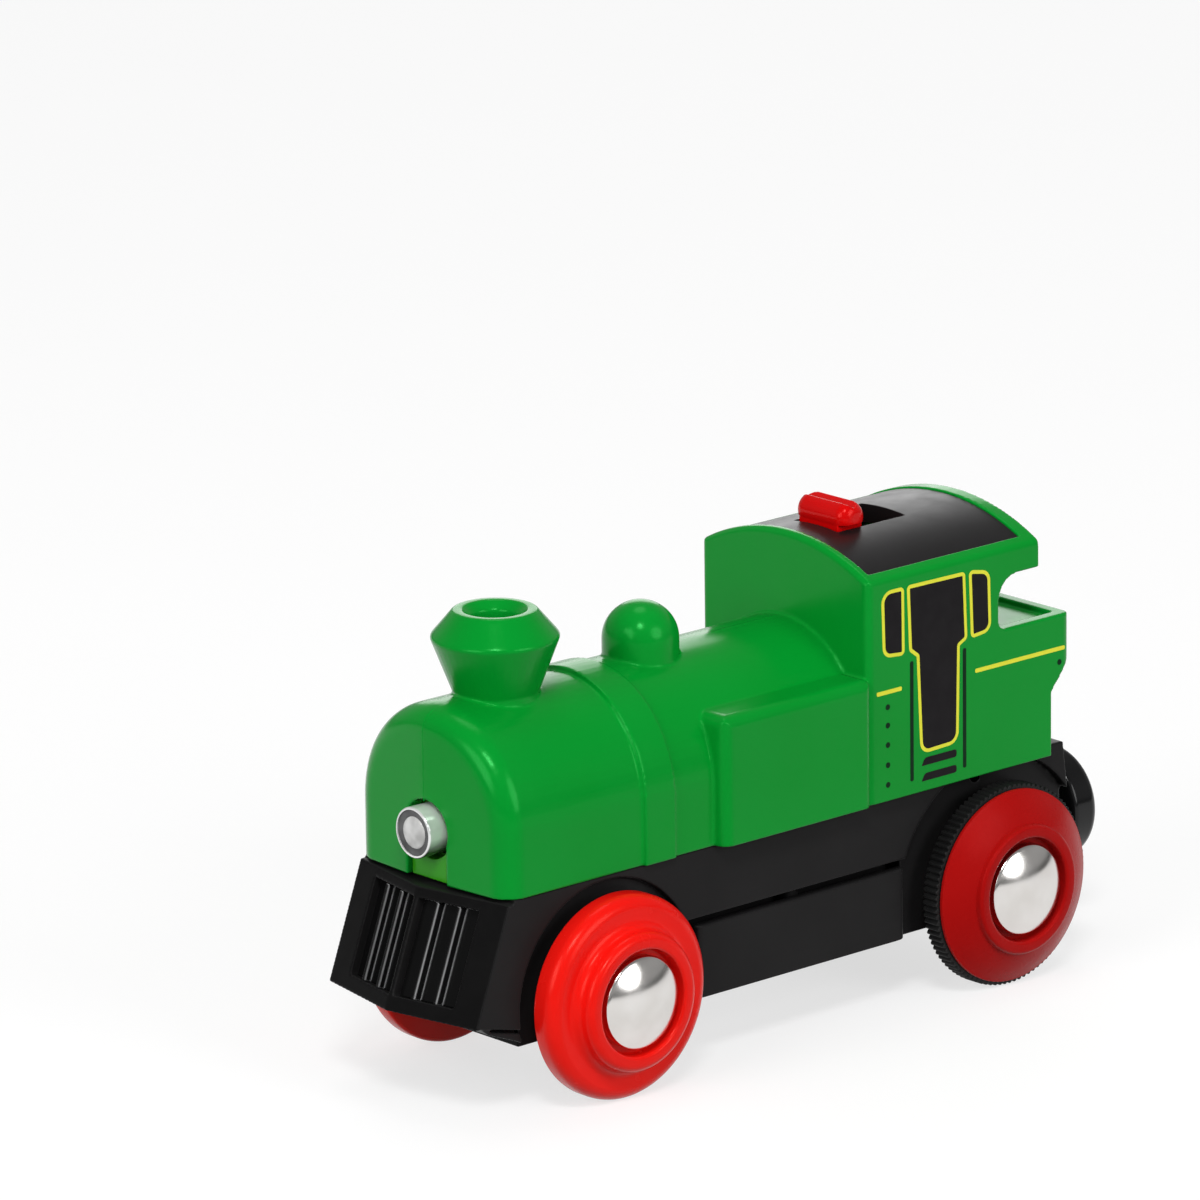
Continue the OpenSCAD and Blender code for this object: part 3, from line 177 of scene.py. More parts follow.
# a darker copy of the wheel red for the rear wheels: painted shade
rearShadedRedLook = dict(redLook, colour=(0.370, 0.0045, 0.0042), tint=(0.400, 0.0060, 0.0055),
                   smooth=0.24, rough=0.32, gloss=0.16, shine=(1.0, 0.1, 0.1))
knobLook = dict(redLook, colour=(0.600, 0.0010, 0.0012), tint=(0.650, 0.0022, 0.0024),
                smooth=0.14, rough=0.20, gloss=0.5, shine=(1.0, 0.16, 0.14))
rubberLook = dict(colour=(0.0055, 0.0055, 0.0058), tint=(0.0095, 0.0095, 0.0095), flowScale=0.5,
                  sheenScale=2.5, smooth=0.50, rough=0.68, peelScale=4, peelDepth=0.012, gloss=0.2)
yellowLook = dict(colour=(0.780, 0.770, 0.026), tint=(0.830, 0.820, 0.034), flowScale=0.6,
                  sheenScale=2, smooth=0.36, rough=0.48, peelScale=5, peelDepth=0.002)
inkLook = dict(colour=(0.0110, 0.0098, 0.0110), tint=(0.0140, 0.0128, 0.0140), flowScale=0.6,
               sheenScale=2, smooth=0.36, rough=0.48, peelScale=5, peelDepth=0.002, gloss=0.05)
grooveLook = dict(inkLook, colour=(0.0040, 0.0230, 0.0090), tint=(0.0055, 0.0290, 0.0110))
nylonLook = dict(colour=(0.72, 0.70, 0.62), tint=(0.80, 0.78, 0.70), flowScale=0.4,
                 sheenScale=2, smooth=0.35, rough=0.5, peelScale=4, peelDepth=0.006)
boardLook = dict(colour=(0.36, 0.19, 0.06), tint=(0.48, 0.28, 0.1), flowScale=0.8, flowStretch=(0.2, 2, 1),
                 sheenScale=3, smooth=0.55, rough=0.7, peelScale=4, peelDepth=0.01)
wrapLook = dict(colour=(0.50, 0.26, 0.05), tint=(0.58, 0.33, 0.08), flowScale=0.3, flowStretch=(0.2, 1, 1),
                sheenScale=1.5, smooth=0.25, rough=0.35, peelScale=2, peelDepth=0.004)
bulbLook = dict(colour=(0.85, 0.76, 0.5), tint=(0.92, 0.85, 0.62), flowScale=1,
                sheenScale=2, smooth=0.12, rough=0.2, peelScale=3, peelDepth=0.003)
lensLook = dict(colour=(0.022, 0.023, 0.024), tint=(0.105, 0.106, 0.108), flowScale=0.5,
                sheenScale=2, smooth=0.08, rough=0.16, peelScale=2, peelDepth=0.004)
# sleeve darkened on faces that look down: painted shade
sleeveLook = dict(lensLook, colour=(0.66, 0.68, 0.67), tint=(1.0, 1.0, 0.99), flowScale=0.32,
                  lowShade=0.06, metal=0.42)
discLook = dict(lensLook, colour=(0.46, 0.46, 0.45), tint=(0.95, 0.95, 0.94), flowScale=0.45)
steelLook = dict(colour=(0.66, 0.635, 0.61), tint=(0.73, 0.71, 0.69), smearScale=0.35,
                 smooth=0.13, rough=0.21, grainScale=1.2, grainDepth=0.0015)
pinLook = dict(steelLook, colour=(0.022, 0.022, 0.024), tint=(0.040, 0.040, 0.043))
brassLook = dict(colour=(0.60, 0.40, 0.11), tint=(0.70, 0.48, 0.15), smearScale=0.7,
                 smooth=0.22, rough=0.36, grainScale=3, grainDepth=0.004)

greenPlastic = plasticMaterial("greenPlastic", greenLook)
tonguePlastic = plasticMaterial("tonguePlastic", tongueLook)
roofPlastic = plasticMaterial("roofPlastic", roofLook)
blackPlastic = plasticMaterial("blackPlastic", blackLook)
glossBlack = plasticMaterial("glossBlack", glossLook)
grilleGlintBlack = plasticMaterial("grilleGlintBlack", grilleGlintLook)
redPlastic = plasticMaterial("redPlastic", redLook)
rearShadedRedPlastic = plasticMaterial("rearShadedRedPlastic", rearShadedRedLook)
knobPlastic = plasticMaterial("knobPlastic", knobLook)
tyreRubber = plasticMaterial("tyreRubber", rubberLook)
yellowInk = plasticMaterial("yellowInk", yellowLook)
blackInk = plasticMaterial("blackInk", inkLook)
grooveInk = plasticMaterial("grooveInk", grooveLook)
gearNylon = plasticMaterial("gearNylon", nylonLook)
boardPaper = plasticMaterial("boardPaper", boardLook)
cellWrap = plasticMaterial("cellWrap", wrapLook)
bulbResin = plasticMaterial("bulbResin", bulbLook)
darkLens = plasticMaterial("darkLens", lensLook)
paleLens = plasticMaterial("paleLens", sleeveLook)
paleDisc = plasticMaterial("paleDisc", discLook)
polishedSteel = metalMaterial("polishedSteel", steelLook)
darkSteel = metalMaterial("darkSteel", pinLook)
stampedBrass = metalMaterial("stampedBrass", brassLook)
print("materials made:", len(bpy.data.materials))


# finishes and edge roundings, in millimetres, of the solids that show as they are

solidFinish = dict(
    roof_panel=(roofPlastic, 0.08), lamp_holder=(tonguePlastic, 0.1), lamp_led=(bulbResin, 0),
    switch_wiper=(stampedBrass, 0.05), switch_board=(boardPaper, 0.05), battery_cover=(blackPlastic, 0.2),
    cover_screws=(polishedSteel, 0.08), body_screws=(polishedSteel, 0.08), battery_cell=(cellWrap, 0.3),
    contact_positive=(polishedSteel, 0.05), contact_negative=(polishedSteel, 0.05),
    motor_can=(polishedSteel, 0.3), motor_end_cap=(gearNylon, 0.2), motor_lead=(stampedBrass, 0.05),
    motor_shaft=(polishedSteel, 0.1), motor_pinion=(stampedBrass, 0), gear_frame=(blackPlastic, 0.1),
    reduction_gear=(gearNylon, 0), reduction_shaft=(polishedSteel, 0.1), idler_gear=(gearNylon, 0),
    idler_pin=(darkSteel, 0.05), axle_gear=(gearNylon, 0), rear_axle=(polishedSteel, 0.15),
    front_axle=(polishedSteel, 0.15), rear_bushes=(gearNylon, 0.1), front_bushes=(gearNylon, 0.1),
    coupler_head=(glossBlack, 0.2), coupler_magnet=(polishedSteel, 0.12),
    coupler_screw=(polishedSteel, 0.05))
edging = dict(weld=0.002, flatAngle=0.6, cornerAngle=32, segments=3, flatWeight=80)  # angles in degrees


def finishSolid(name, material, rounding):
    solid = nodes[name]
    solid.data.materials.clear()
    solid.data.materials.append(material)
    if rounding:
        weld = solid.modifiers.new("weld", "WELD")
        weld.merge_threshold = edging["weld"] * mm
        flatten = solid.modifiers.new("flatten", "DECIMATE")
        flatten.decimate_type = "DISSOLVE"
        flatten.angle_limit = math.radians(edging["flatAngle"])
        edges = solid.modifiers.new("edges", "BEVEL")
        edges.width = rounding * mm
        edges.segments = edging["segments"]
        edges.limit_method = "ANGLE"
        edges.angle_limit = math.radians(edging["cornerAngle"])
        edges.use_clamp_overlap = False
        edges.miter_outer = "MITER_ARC"
        settle = solid.modifiers.new("settle", "WEIGHTED_NORMAL")  # flat faces stay flat beside the edges
        settle.weight = edging["flatWeight"]
        settle.keep_sharp = True


for name, (material, rounding) in solidFinish.items():
    finishSolid(name, material, rounding)
print("solids finished:", len(solidFinish))


def addMesh(name, mesh, material, body, stands=()):
    mesh.materials.clear()
    mesh.materials.append(material)
    piece = bpy.data.objects.new(name, mesh)
    bpy.context.scene.collection.objects.link(piece)
    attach(piece, body)
    if stands:
        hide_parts(*stands)


# mouldings whose edges are softened all over, inside corners too:
# grain is the voxel in millimetres, passes soften it, keep is the share of faces that stay

shell = dict(grain=0.16, passes=4, keep=0.25)
knob = dict(grain=0.07, passes=5, keep=0.4)
underframe = dict(grain=0.15, passes=3, keep=0.25)
grille = dict(grain=0.08, passes=3, keep=0.3)
softening = dict(weld=0.002, factor=0.5)
nose = dict(front=41.85, rounding=2.5, rise=0.8, halfWidth=10.5)  # a shallow edge in the middle of the face


def softMesh(node, finish):
    helper = bpy.data.objects.new("helper", nodes[node].data.copy())
    bpy.context.scene.collection.objects.link(helper)
    weld = helper.modifiers.new("weld", "WELD")
    weld.merge_threshold = softening["weld"] * mm
    cells = helper.modifiers.new("cells", "REMESH")
    cells.mode = "VOXEL"
    cells.voxel_size = finish["grain"] * mm
    cells.use_smooth_shade = True
    soften = helper.modifiers.new("soften", "SMOOTH")
    soften.factor = softening["factor"]
    soften.iterations = finish["passes"]
    thin = helper.modifiers.new("thin", "DECIMATE")
    thin.ratio = finish["keep"]
    seen = helper.evaluated_get(bpy.context.evaluated_depsgraph_get())
    mesh = bpy.data.meshes.new_from_object(seen)
    bpy.data.objects.remove(helper)
    return mesh


def noseReach(x, y):  # how far the nose's face stands out, from its place in millimetres
    t = max(0, min(1, (x - nose["front"] + nose["rounding"]) / nose["rounding"]))
    return nose["rise"] * t * t * (3 - 2 * t) * max(0, 1 - abs(y) / nose["halfWidth"])


def buildMouldings():
    shellMesh = softMesh("body_shell", shell)
    for vertex in shellMesh.vertices:
        vertex.co.x += noseReach(vertex.co.x / mm, vertex.co.y / mm) * mm
    addMesh("shell", shellMesh, greenPlastic, "frame", ("body_shell",))
    knobMesh = softMesh("switch_knob", knob)
    addMesh("knob", knobMesh, knobPlastic, "slider", ("switch_knob",))
    underMesh = softMesh("chassis", underframe)
    addMesh("underframe", underMesh, blackPlastic, "frame", ("chassis",))
    # the grille's fin edges carry a painted highlight
    grilleMesh = softMesh("plough_grille", grille)
    addMesh("grille", grilleMesh, grilleGlintBlack, "frame", ("plough_grille",))


buildMouldings()
print("shell, knob, underframe and grille softened")


# turned pieces: a profile of (radius, distance from the middle plane) swept round an axle, in millimetres

def arc(centre, radius, start, end, steps):
    turns = [math.radians(start + (end - start) * i / steps) for i in range(steps + 1)]
    return [(centre[0] + radius * math.cos(t), centre[1] + radius * math.sin(t)) for t in turns]


def addPiece(name, bm, material, body, stands=(), sharp=40):
    bmesh.ops.recalc_face_normals(bm, faces=bm.faces)
    mesh = bpy.data.meshes.new(name)
    bm.to_mesh(mesh)
    bm.free()
    mesh.shade_smooth()
    mesh.set_sharp_from_angle(angle=math.radians(sharp))
    addMesh(name, mesh, material, body, stands)


def turnProfile(profile, place, steps, ripple=None, closed=True):
    bm = bmesh.new()
    rings = []
    for k in range(steps):
        turn = 2 * math.pi * k / steps
        ring = []
        for radius, out in profile:
            reach = ripple(radius, k) if ripple else radius
            spot = place(reach * math.cos(turn), reach * math.sin(turn), out)
            ring.append(bm.verts.new(Vector(spot) * mm))
        rings.append(ring)
    count = len(profile)
    for k in range(steps):
        here, there = rings[k], rings[(k + 1) % steps]
        for i in range(count if closed else count - 1):
            j = (i + 1) % count
            bm.faces.new((here[i], there[i], there[j], here[j]))
    if not closed:  # the profile starts and ends beside the axis
        bm.faces.new([ring[0] for ring in rings])
        bm.faces.new([ring[-1] for ring in rings])
    return bm


wheelset = dict(frontAxle=(28.2, 10.85), rearAxle=(-26.8, 11.0), inner=12.2, steps=144)
hubLip = dict(lip=17.2, recess=5.65, floor=15.5, soft=0.35, foot=0.3, bore=1.5)
frontWheel = dict(radius=10.85, face=15.2, rimRound=1.45, backRound=0.4, hub=7.4, hubRound=0.85,
                  fillet=1.0, dip=0.12)
rearWheel = dict(disc=10.5, seat=8.8, back=14.4, edge=0.45, bevel=0.12, backBevel=0.1, faceBevel=0.14,
                 blend=0.04, cone=16.4, coneGap=0.3, coneSteps=6, swell=0.1, lean=0.4,
                 hub=7.05, hubRound=0.4, footOut=0.06, footUp=0.08)
tyreRing = dict(radius=11.0, inside=8.8, near=12.35, far=14.35, shoulder=0.12, ribs=96, depth=0.32,
                band=0.1, samples=8, power=1.6, sharp=60)
capDome = dict(radius=4.95, base=15.5, skirt=16.9, crown=18.3, edge=0.14, pole=89.9, steps=22,
               shoulder=((0.03, 0.05), (0.0, 0.22)), foot=0.1, middle=0.02)


def hubBowl():
    recess, floor, soft, foot = (hubLip[k] for k in ("recess", "floor", "soft", "foot"))
    top = arc((recess + soft, hubLip["lip"] - soft), soft, 90, 180, 5)
    bottom = arc((recess - foot, floor + foot), foot, 0, -90, 4)
    return top + bottom + [(hubLip["bore"], floor)]


def frontProfile():
    wheel, inner = frontWheel, wheelset["inner"]
    radius, face, hub = wheel["radius"], wheel["face"], wheel["hub"]
    rimRound, backRound = wheel["rimRound"], wheel["backRound"]
    hubRound, fillet = wheel["hubRound"], wheel["fillet"]
    valley = face - wheel["dip"]
    back = arc((radius - backRound, inner + backRound), backRound, -90, 0, 4)
    rim = arc((radius - rimRound, face - rimRound), rimRound, 0, 90, 12)
    rise = arc((hub + fillet, valley + fillet), fillet, 270, 180, 9)
    lip = arc((hub - hubRound, hubLip["lip"] - hubRound), hubRound, 0, 90, 8)
    return [(hubLip["bore"], inner)] + back + rim + rise + lip + hubBowl()


def rearProfile():
    wheel, inner = rearWheel, wheelset["inner"]
    disc, seat, back, hub, hubRound = (wheel[k] for k in ("disc", "seat", "back", "hub", "hubRound"))
    face = back + wheel["edge"]
    rim = [(seat, inner), (seat, back), (disc - wheel["bevel"], back), (disc, back + wheel["backBevel"]),
           (disc, face - wheel["faceBevel"]), (disc - wheel["blend"], face - wheel["blend"])]
    start, end = (disc - wheel["bevel"], face), (hub + wheel["coneGap"], wheel["cone"])
    cone = []
    for i in range(wheel["coneSteps"] + 1):  # a slight swell along the cone
        t = i / wheel["coneSteps"]
        bulge = wheel["swell"] * math.sin(math.pi * t)
        radius = start[0] + (end[0] - start[0]) * t + bulge * wheel["lean"]
        cone.append((radius, start[1] + (end[1] - start[1]) * t + bulge))
    foot = (hub + wheel["footOut"], wheel["cone"] + wheel["footUp"])
    lip = arc((hub - hubRound, hubLip["lip"] - hubRound), hubRound, 0, 90, 6)
    return [(hubLip["bore"], inner)] + rim + cone + [foot] + lip + hubBowl()


def tyreProfile():
    ring = tyreRing
    soft = ring["shoulder"]
    near = arc((ring["radius"] - soft, ring["near"] + soft), soft, -90, 0, 4)
    far = arc((ring["radius"] - soft, ring["far"] - soft), soft, 0, 90, 4)
    return [(ring["inside"], ring["near"])] + near + far + [(ring["inside"], ring["far"])]


def tyreRipple(radius, k):
    ring = tyreRing
    if radius < ring["radius"] - ring["depth"] - ring["band"]:
        return radius
    wave = 0.5 - 0.5 * math.cos(2 * math.pi * k / ring["samples"])
    return radius - ring["depth"] * wave ** ring["power"]


def capProfile():
    cap = capDome
    radius, base, skirt, crown = (cap[k] for k in ("radius", "base", "skirt", "crown"))
    rise = crown - skirt
    curve = (radius ** 2 + rise ** 2) / (2 * rise)
    reach = math.degrees(math.asin((radius - cap["edge"]) / curve))
    dome = arc((0, crown - curve), curve, cap["pole"], 90 - reach, cap["steps"])
    shoulder = [(radius - inset, skirt - drop) for inset, drop in cap["shoulder"]]
    foot = [(radius, base + cap["foot"]), (radius - cap["foot"], base), (cap["middle"], base)]
    return dome + shoulder + foot


def buildWheels():
    steps = wheelset["steps"]
    ribSteps = tyreRing["ribs"] * tyreRing["samples"]

    def onAxle(end, side):
        x, z = wheelset[end + "Axle"]
        return lambda across, up, out: (x + across, side * out, z + up)

    for word, side in (("left", 1), ("right", -1)):
        front, rear = onAxle("front", side), onAxle("rear", side)
        addPiece("frontWheel." + word, turnProfile(frontProfile(), front, steps), redPlastic,
                 "front_wheelset", ("front_wheel_" + word,))
        # rear wheels take the darker copy of the red: painted shade
        addPiece("rearWheel." + word, turnProfile(rearProfile(), rear, steps), rearShadedRedPlastic,
                 "rear_wheelset", ("rear_wheel_" + word,))
        addPiece("tyre." + word, turnProfile(tyreProfile(), rear, ribSteps, tyreRipple), tyreRubber,
                 "rear_wheelset", ("rear_tyre_" + word,), tyreRing["sharp"])
        for end, place in (("front", front), ("rear", rear)):
            cap = turnProfile(capProfile(), place, steps, closed=False)
            addPiece(end + "Cap." + word, cap, polishedSteel,
                     end + "_wheelset", (end + "_cap_" + word,))


buildWheels()
print("wheels, tyres and caps turned")


# cab side print: thin plates laid on both side walls, outlines in (x, z) with each corner's rounding

cabPrint = dict(
    wall=12.8, sink=0.02, proud=0.015, line=0.40,
    frontWindow=[(-9.94, 45.82, 1.0), (-12.42, 45.80, 0.15), (-12.48, 39.19, 0.15), (-10.14, 39.40, 0.8)],
    door=[(-13.66, 45.82, 0.1), (-21.30, 45.73, 0.1), (-21.59, 39.03, 0.3), (-20.49, 38.47, 0.5),
          (-20.29, 28.03, 1.0), (-15.52, 27.88, 0.9), (-15.02, 38.43, 0.5), (-13.94, 39.25, 0.3)],
    rearWindow=[(-22.65, 45.69, 0.15), (-24.93, 45.25, 0.9), (-25.10, 39.30, 0.8), (-22.92, 39.07, 0.15)],
    stripes=[((-8.85, 35.24), (-12.47, 35.24), 0.45), ((-23.15, 34.98), (-36.4, 34.98), 0.45)],
    grooves=[((-13.9, 37.9), (-13.9, 24.8), 0.5), ((-21.58, 37.8), (-21.58, 24.7), 0.5)],
    treads=[[(-15.75, 27.0, 0.6), (-20.4, 27.0, 0.3), (-20.4, 26.15, 0.3), (-15.3, 26.15, 0.05)],
            [(-15.75, 25.3, 0.6), (-20.4, 25.3, 0.3), (-20.4, 24.45, 0.3), (-15.3, 24.45, 0.05)]],
    rivets=[(-10.43, 33.59), (-10.43, 31.60), (-10.43, 29.47),
            (-10.43, 27.28), (-10.43, 25.13), (-35.6, 33.48)],
    rivetRadius=0.32, rivetSides=24, leastRound=0.03, barRound=0.4, cornerShare=0.49, cornerSteps=6)


def growCorners(corners, margin):
    grown = []
    count = len(corners)
    sides = zip(corners, corners[1:] + corners[:1])
    area = sum(here[0] * there[1] - there[0] * here[1] for here, there in sides)
    turn = 1 if area > 0 else -1
    for i in range(count):
        a, b, c = (Vector(corners[(i + k) % count][:2]) for k in (-1, 0, 1))
        u, v = (b - a).normalized(), (c - b).normalized()
        nu, nv = Vector((u.y, -u.x)) * turn, Vector((v.y, -v.x)) * turn
        miter = (nu + nv) / (1 + nu.dot(nv))
        bends = (u.x * v.y - u.y * v.x) * turn
        spot = b + miter * margin
        rounding = corners[i][2] + (margin if bends > 0 else -margin)
        grown.append((spot.x, spot.y, max(cabPrint["leastRound"], rounding)))
    return grown


def roundCorners(corners):
    points = []
    count = len(corners)
    share, steps = cabPrint["cornerShare"], cabPrint["cornerSteps"]
    for i in range(count):
        a, b, c = (Vector(corners[(i + k) % count][:2]) for k in (-1, 0, 1))
        u, v = (a - b).normalized(), (c - b).normalized()
        half = math.acos(max(-1, min(1, u.dot(v)))) / 2
        cut = min(corners[i][2] / math.tan(half), share * (a - b).length, share * (c - b).length)
        radius = cut * math.tan(half)
        middle = b + (u + v).normalized() * (radius / math.sin(half))
        first, last = b + u * cut - middle, b + v * cut - middle
        sweep = first.angle_signed(last)
        for k in range(steps + 1):
            points.append(middle + Matrix.Rotation(-sweep * k / steps, 2) @ first)
    return points


def layPlate(bm, points, side, low, high):
    wall = cabPrint["wall"]
    inside = [bm.verts.new((p[0] * mm, side * (wall + low) * mm, p[1] * mm)) for p in points]
    outside = [bm.verts.new((p[0] * mm, side * (wall + high) * mm, p[1] * mm)) for p in points]
    count = len(points)
    bm.faces.new(inside)
    bm.faces.new(outside)
    for i in range(count):
        j = (i + 1) % count
        bm.faces.new((inside[i], inside[j], outside[j], outside[i]))


def barCorners(start, end, width):
    a, b = Vector(start), Vector(end)
    along = (b - a).normalized()
    across = Vector((along.y, -along.x)) * width / 2
    r = width * cabPrint["barRound"]
    return [(*(a + across), r), (*(b + across), r), (*(b - across), r), (*(a - across), r)]


def rivetOutline(x, z):
    sides = cabPrint["rivetSides"]
    return arc((x, z), cabPrint["rivetRadius"], 0, 360 - 360 / sides, sides - 1)


def buildPrint():
    p = cabPrint
    low, first, second = -p["sink"], p["proud"], 2 * p["proud"]
    for word, side in (("left", 1), ("right", -1)):
        yellow, black, groove = bmesh.new(), bmesh.new(), bmesh.new()
        for key in ("frontWindow", "door", "rearWindow"):
            layPlate(yellow, roundCorners(growCorners(p[key], p["line"])), side, low, first)
            layPlate(black, roundCorners(p[key]), side, low, second)
        for stripe in p["stripes"]:
            layPlate(yellow, roundCorners(barCorners(*stripe)), side, low, first)
        for tread in p["treads"]:
            layPlate(black, roundCorners(tread), side, low, first)
        for rivet in p["rivets"]:
            layPlate(groove, rivetOutline(*rivet), side, low, first)
        for bar in p["grooves"]:
            layPlate(groove, roundCorners(barCorners(*bar)), side, low, first)
        addPiece("cabLines." + word, yellow, yellowInk, "frame")
        addPiece("cabGlass." + word, black, blackInk, "frame")
        addPiece("cabGrooves." + word, groove, grooveInk, "frame")


buildPrint()
print("cab sides printed")


# headlamp: pale sleeve with painted shade underneath, dark ring and pale disc, and the mould line above it

lamp = dict(z=28.7, radius=2.7, back=38.1, front=44.2, wall=0.3, lip=0.16, mouth=0.04,
            faceBack=42.4, set=0.12, dish=0.1, lap=0.03, middle=0.03,
            disc=1.7, discGap=0.1, discBack=43.2, swell=0.3, steps=64,
            domeSteps=(0, 0.15, 0.3, 0.45, 0.6, 0.75, 0.9, 0.99))
mouldLine = dict(half=0.07, proud=0.03, sunk=0.06, low=31.8, high=39.1, turns=9, reach=60)


def buildLamp():
    p = lamp
    radius, front, middle, disc = (p[k] for k in ("radius", "front", "middle", "disc"))
    bore = radius - p["wall"]
    face = front - p["set"]
    foot = face - p["dish"]

    def onNose(across, up, out):
        return out, across, p["z"] + up

    def turned(profile, closed):
        return turnProfile(profile, onNose, p["steps"], None, closed)

    lip = arc((radius - p["lip"], front - p["lip"]), p["lip"], 0, 90, 5)
    sleeve = [(bore, p["back"]), (radius, p["back"])] + lip + [(bore + p["mouth"], front), (bore, foot)]
    addPiece("lampSleeve", turned(sleeve, True), paleLens, "frame", ("lamp_lens",))
    rim = bore + p["lap"]
    ring = [(middle, p["faceBack"]), (rim, p["faceBack"]), (rim, face),
            (disc + p["discGap"], foot), (middle, foot)]
    addPiece("lampRing", turned(ring, False), darkLens, "frame")
    turns = [math.pi / 2 * t for t in p["domeSteps"]]
    dome = [(disc * math.cos(t), foot + p["swell"] * math.sin(t)) for t in turns]
    plug = [(middle, p["discBack"]), (disc, p["discBack"])] + dome
    addPiece("lampDisc", turned(plug, False), paleDisc, "frame")


def buildMouldLine():
    p = mouldLine
    r = nose["rounding"]
    path = [(nose["front"], p["low"])] + arc((nose["front"] - r, p["high"]), r, 0, p["reach"], p["turns"])
    path = [(x + noseReach(x, 0), z) for x, z in path]
    corners = ((-p["half"], -p["sunk"]), (0, p["proud"]), (p["half"], -p["sunk"]))
    bm = bmesh.new()
    rings = []
    for i, (x, z) in enumerate(path):
        before, after = path[max(i - 1, 0)], path[min(i + 1, len(path) - 1)]
        out = Vector((after[1] - before[1], before[0] - after[0])).normalized()
        spots = [(x + out.x * d, y, z + out.y * d) for y, d in corners]
        rings.append([bm.verts.new(Vector(spot) * mm) for spot in spots])
    for here, there in zip(rings, rings[1:]):
        for i, j in ((0, 1), (1, 2), (2, 0)):
            bm.faces.new((here[i], there[i], there[j], here[j]))
    bm.faces.new(rings[0])
    bm.faces.new(rings[-1])
    addPiece("mouldLine", bm, greenPlastic, "frame")


buildLamp()
buildMouldLine()
print("lamp and mould line fitted")


# floor, light and camera: the studio in metres, the photo's view in millimetres and pixels

studio = dict(floorColour=(0.34, 0.34, 0.34), floorGlow=0.68, floorRough=0.9, floorGloss=0.1, floorHalf=4.0,
              fibreScale=0.02, fibreTint=1.01, bounceColour=(0.30, 0.30, 0.30), aim=(0, 0, 0.02),
              # height and level
              sky=((0.0, 0.05), (0.05, 0.08), (0.12, 0.36), (0.35, 0.38), (0.65, 0.26), (1.0, 0.26)))
lamps = dict(
    key=dict(place=(0.55, 0.60, 1.02), size=0.32, power=6.0),
    front=dict(place=(0.66, 0.10, 0.32), size=0.4, power=1.9),
    side=dict(place=(-0.25, 1.25, 0.55), size=0.8, power=7.5),
    top=dict(place=(-0.20, -0.25, 1.20), size=0.5, power=1.5),
    rear=dict(place=(-0.95, -1.05, 0.46), size=0.8, power=3.0))
photoView = dict(target=(7.0, 0.0, 25.01), distance=964.2, azimuth=137.748, elevation=16.745, roll=-0.584,
                 focalPixels=9225.87, centreX=682.72, centreY=794.24, imageSize=1200,
                 sensor=36, clip=(0.01, 50))


def buildFloor():
    half = studio["floorHalf"]
    corners = [(-half, -half, 0), (half, -half, 0), (half, half, 0), (-half, half, 0)]
    mesh = bpy.data.meshes.new("floor")
    mesh.from_pydata(corners, [], [(0, 1, 2, 3)])
    floor = bpy.data.objects.new("floor", mesh)
    bpy.context.scene.collection.objects.link(floor)
    material, tree, shader, place = startMaterial("floorPaper")
    fibre = addNoise(tree, place, studio["fibreScale"], detail=2)
    pale = studio["floorColour"]
    tint = tuple(c * studio["fibreTint"] for c in pale)
    tree.links.new(addBlend(tree, fibre, pale, tint), shader.inputs["Base Color"])
    shader.inputs["Roughness"].default_value = studio["floorRough"]
    shader.inputs["Emission Color"].default_value = (1, 1, 1, 1)
    shader.inputs["Emission Strength"].default_value = studio["floorGlow"]
    shader.inputs["Specular IOR Level"].default_value = studio["floorGloss"]
    # light that the floor throws back is weaker than the floor looks
    bounce = tree.nodes.new("ShaderNodeBsdfDiffuse")
    bounce.inputs["Color"].default_value = (*studio["bounceColour"], 1)
    path = tree.nodes.new("ShaderNodeLightPath")
    seen = path.outputs["Is Camera Ray"]
    for kind in ("Is Glossy Ray", "Is Transmission Ray"):
        either = tree.nodes.new("ShaderNodeMath")
        either.operation = "MAXIMUM"
        tree.links.new(seen, either.inputs[0])
        tree.links.new(path.outputs[kind], either.inputs[1])
        seen = either.outputs["Value"]
    mix = tree.nodes.new("ShaderNodeMixShader")
    tree.links.new(seen, mix.inputs["Fac"])
    tree.links.new(bounce.outputs["BSDF"], mix.inputs[1])
    tree.links.new(shader.outputs["BSDF"], mix.inputs[2])
    tree.links.new(mix.outputs["Shader"], tree.nodes["Material Output"].inputs["Surface"])
    mesh.materials.append(material)


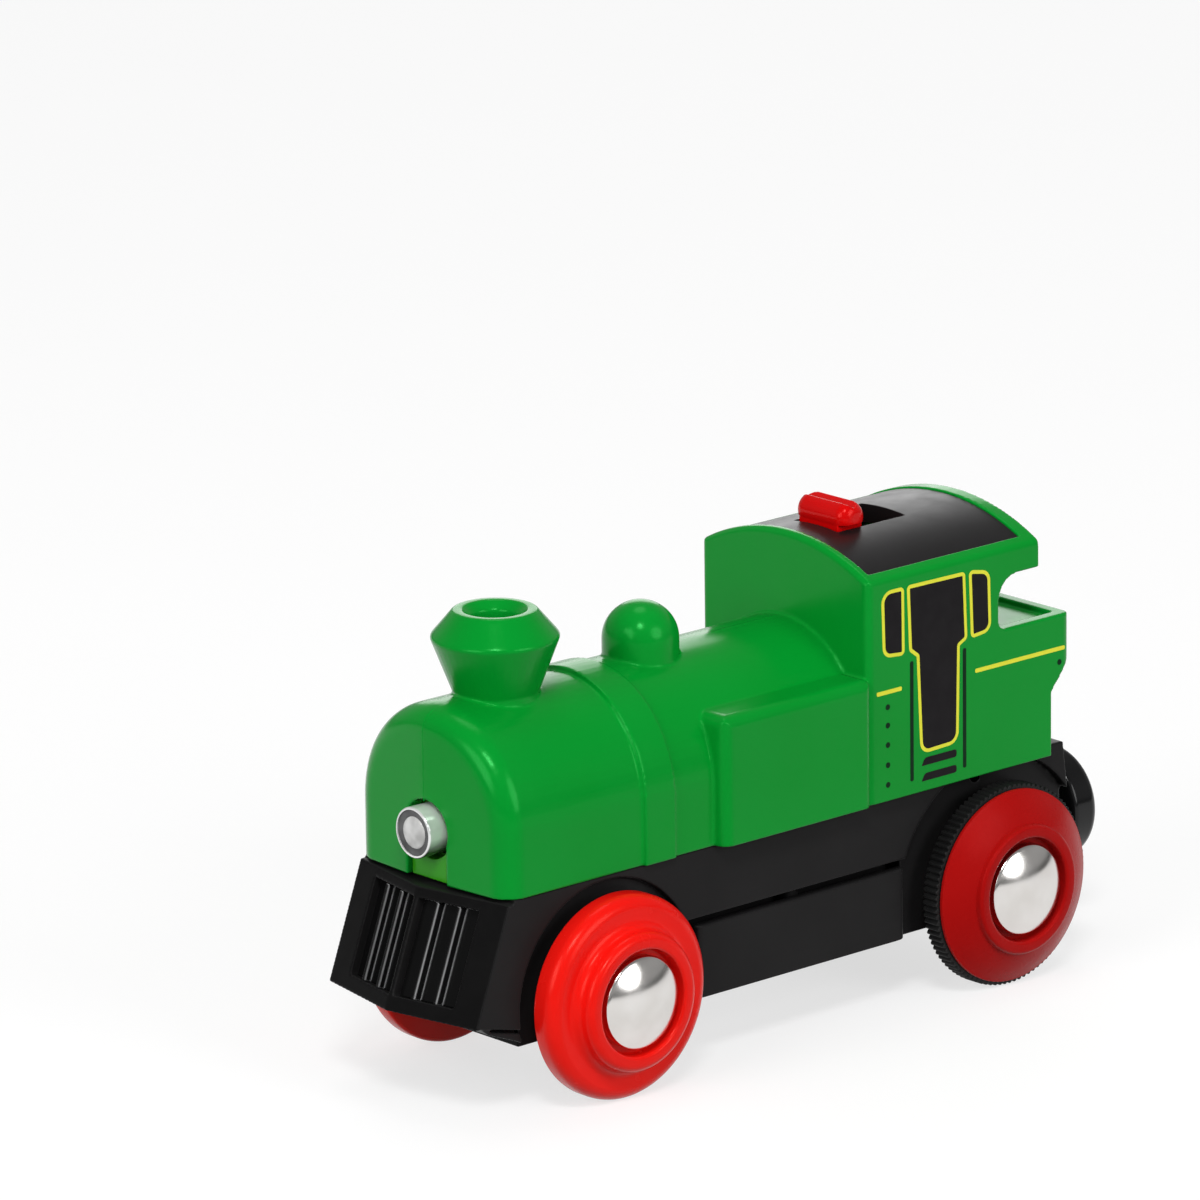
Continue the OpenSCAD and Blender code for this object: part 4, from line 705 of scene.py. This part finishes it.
def buildLight():
    world = bpy.data.worlds.new("studio")
    bpy.context.scene.world = world
    world.use_nodes = True
    tree = world.node_tree
    background = tree.nodes["Background"]
    coords = tree.nodes.new("ShaderNodeTexCoord")
    split = tree.nodes.new("ShaderNodeSeparateXYZ")
    ramp = tree.nodes.new("ShaderNodeValToRGB")
    steps = ramp.color_ramp.elements
    while len(steps) < len(studio["sky"]):
        steps.new(0.5)
    for step, (height, level) in zip(steps, studio["sky"]):
        step.position = height
        step.color = (level, level, level, 1)
    tree.links.new(coords.outputs["Generated"], split.inputs["Vector"])
    tree.links.new(split.outputs["Z"], ramp.inputs["Fac"])
    tree.links.new(ramp.outputs["Color"], background.inputs["Color"])
    background.inputs["Strength"].default_value = 1
    for name, source in lamps.items():
        light = bpy.data.lights.new(name, "AREA")
        light.shape = "DISK"
        light.size = source["size"]
        light.energy = source["power"]
        holder = bpy.data.objects.new(name, light)
        holder.location = source["place"]
        aim = Vector(studio["aim"]) - Vector(source["place"])
        holder.rotation_euler = aim.to_track_quat("-Z", "Y").to_euler()
        bpy.context.scene.collection.objects.link(holder)


def buildCamera():
    view = photoView
    a, e, r = (math.radians(view[k]) for k in ("azimuth", "elevation", "roll"))
    back = Vector((math.sin(a) * math.cos(e), -math.cos(a) * math.cos(e), math.sin(e)))
    right = Vector((0, 0, 1)).cross(back).normalized()
    up = back.cross(right)
    right, up = right * math.cos(r) + up * math.sin(r), up * math.cos(r) - right * math.sin(r)
    half = view["imageSize"] / 2
    aim = -back * view["focalPixels"] + right * (half - view["centreX"]) + up * (view["centreY"] - half)
    forward = aim.normalized()
    side = forward.cross(up).normalized()
    top = side.cross(forward)
    camera = bpy.data.objects.new("camera", bpy.data.cameras.new("camera"))
    camera.data.sensor_width = view["sensor"]
    camera.data.lens = view["focalPixels"] * view["sensor"] / view["imageSize"]
    camera.data.clip_start, camera.data.clip_end = view["clip"]
    camera.matrix_world = Matrix((side, top, -forward)).transposed().to_4x4()
    camera.location = (Vector(view["target"]) + back * view["distance"]) * mm
    bpy.context.scene.collection.objects.link(camera)
    bpy.context.scene.camera = camera


buildFloor()
buildLight()
buildCamera()
bpy.context.scene.view_settings.view_transform = "Standard"
print("studio ready")
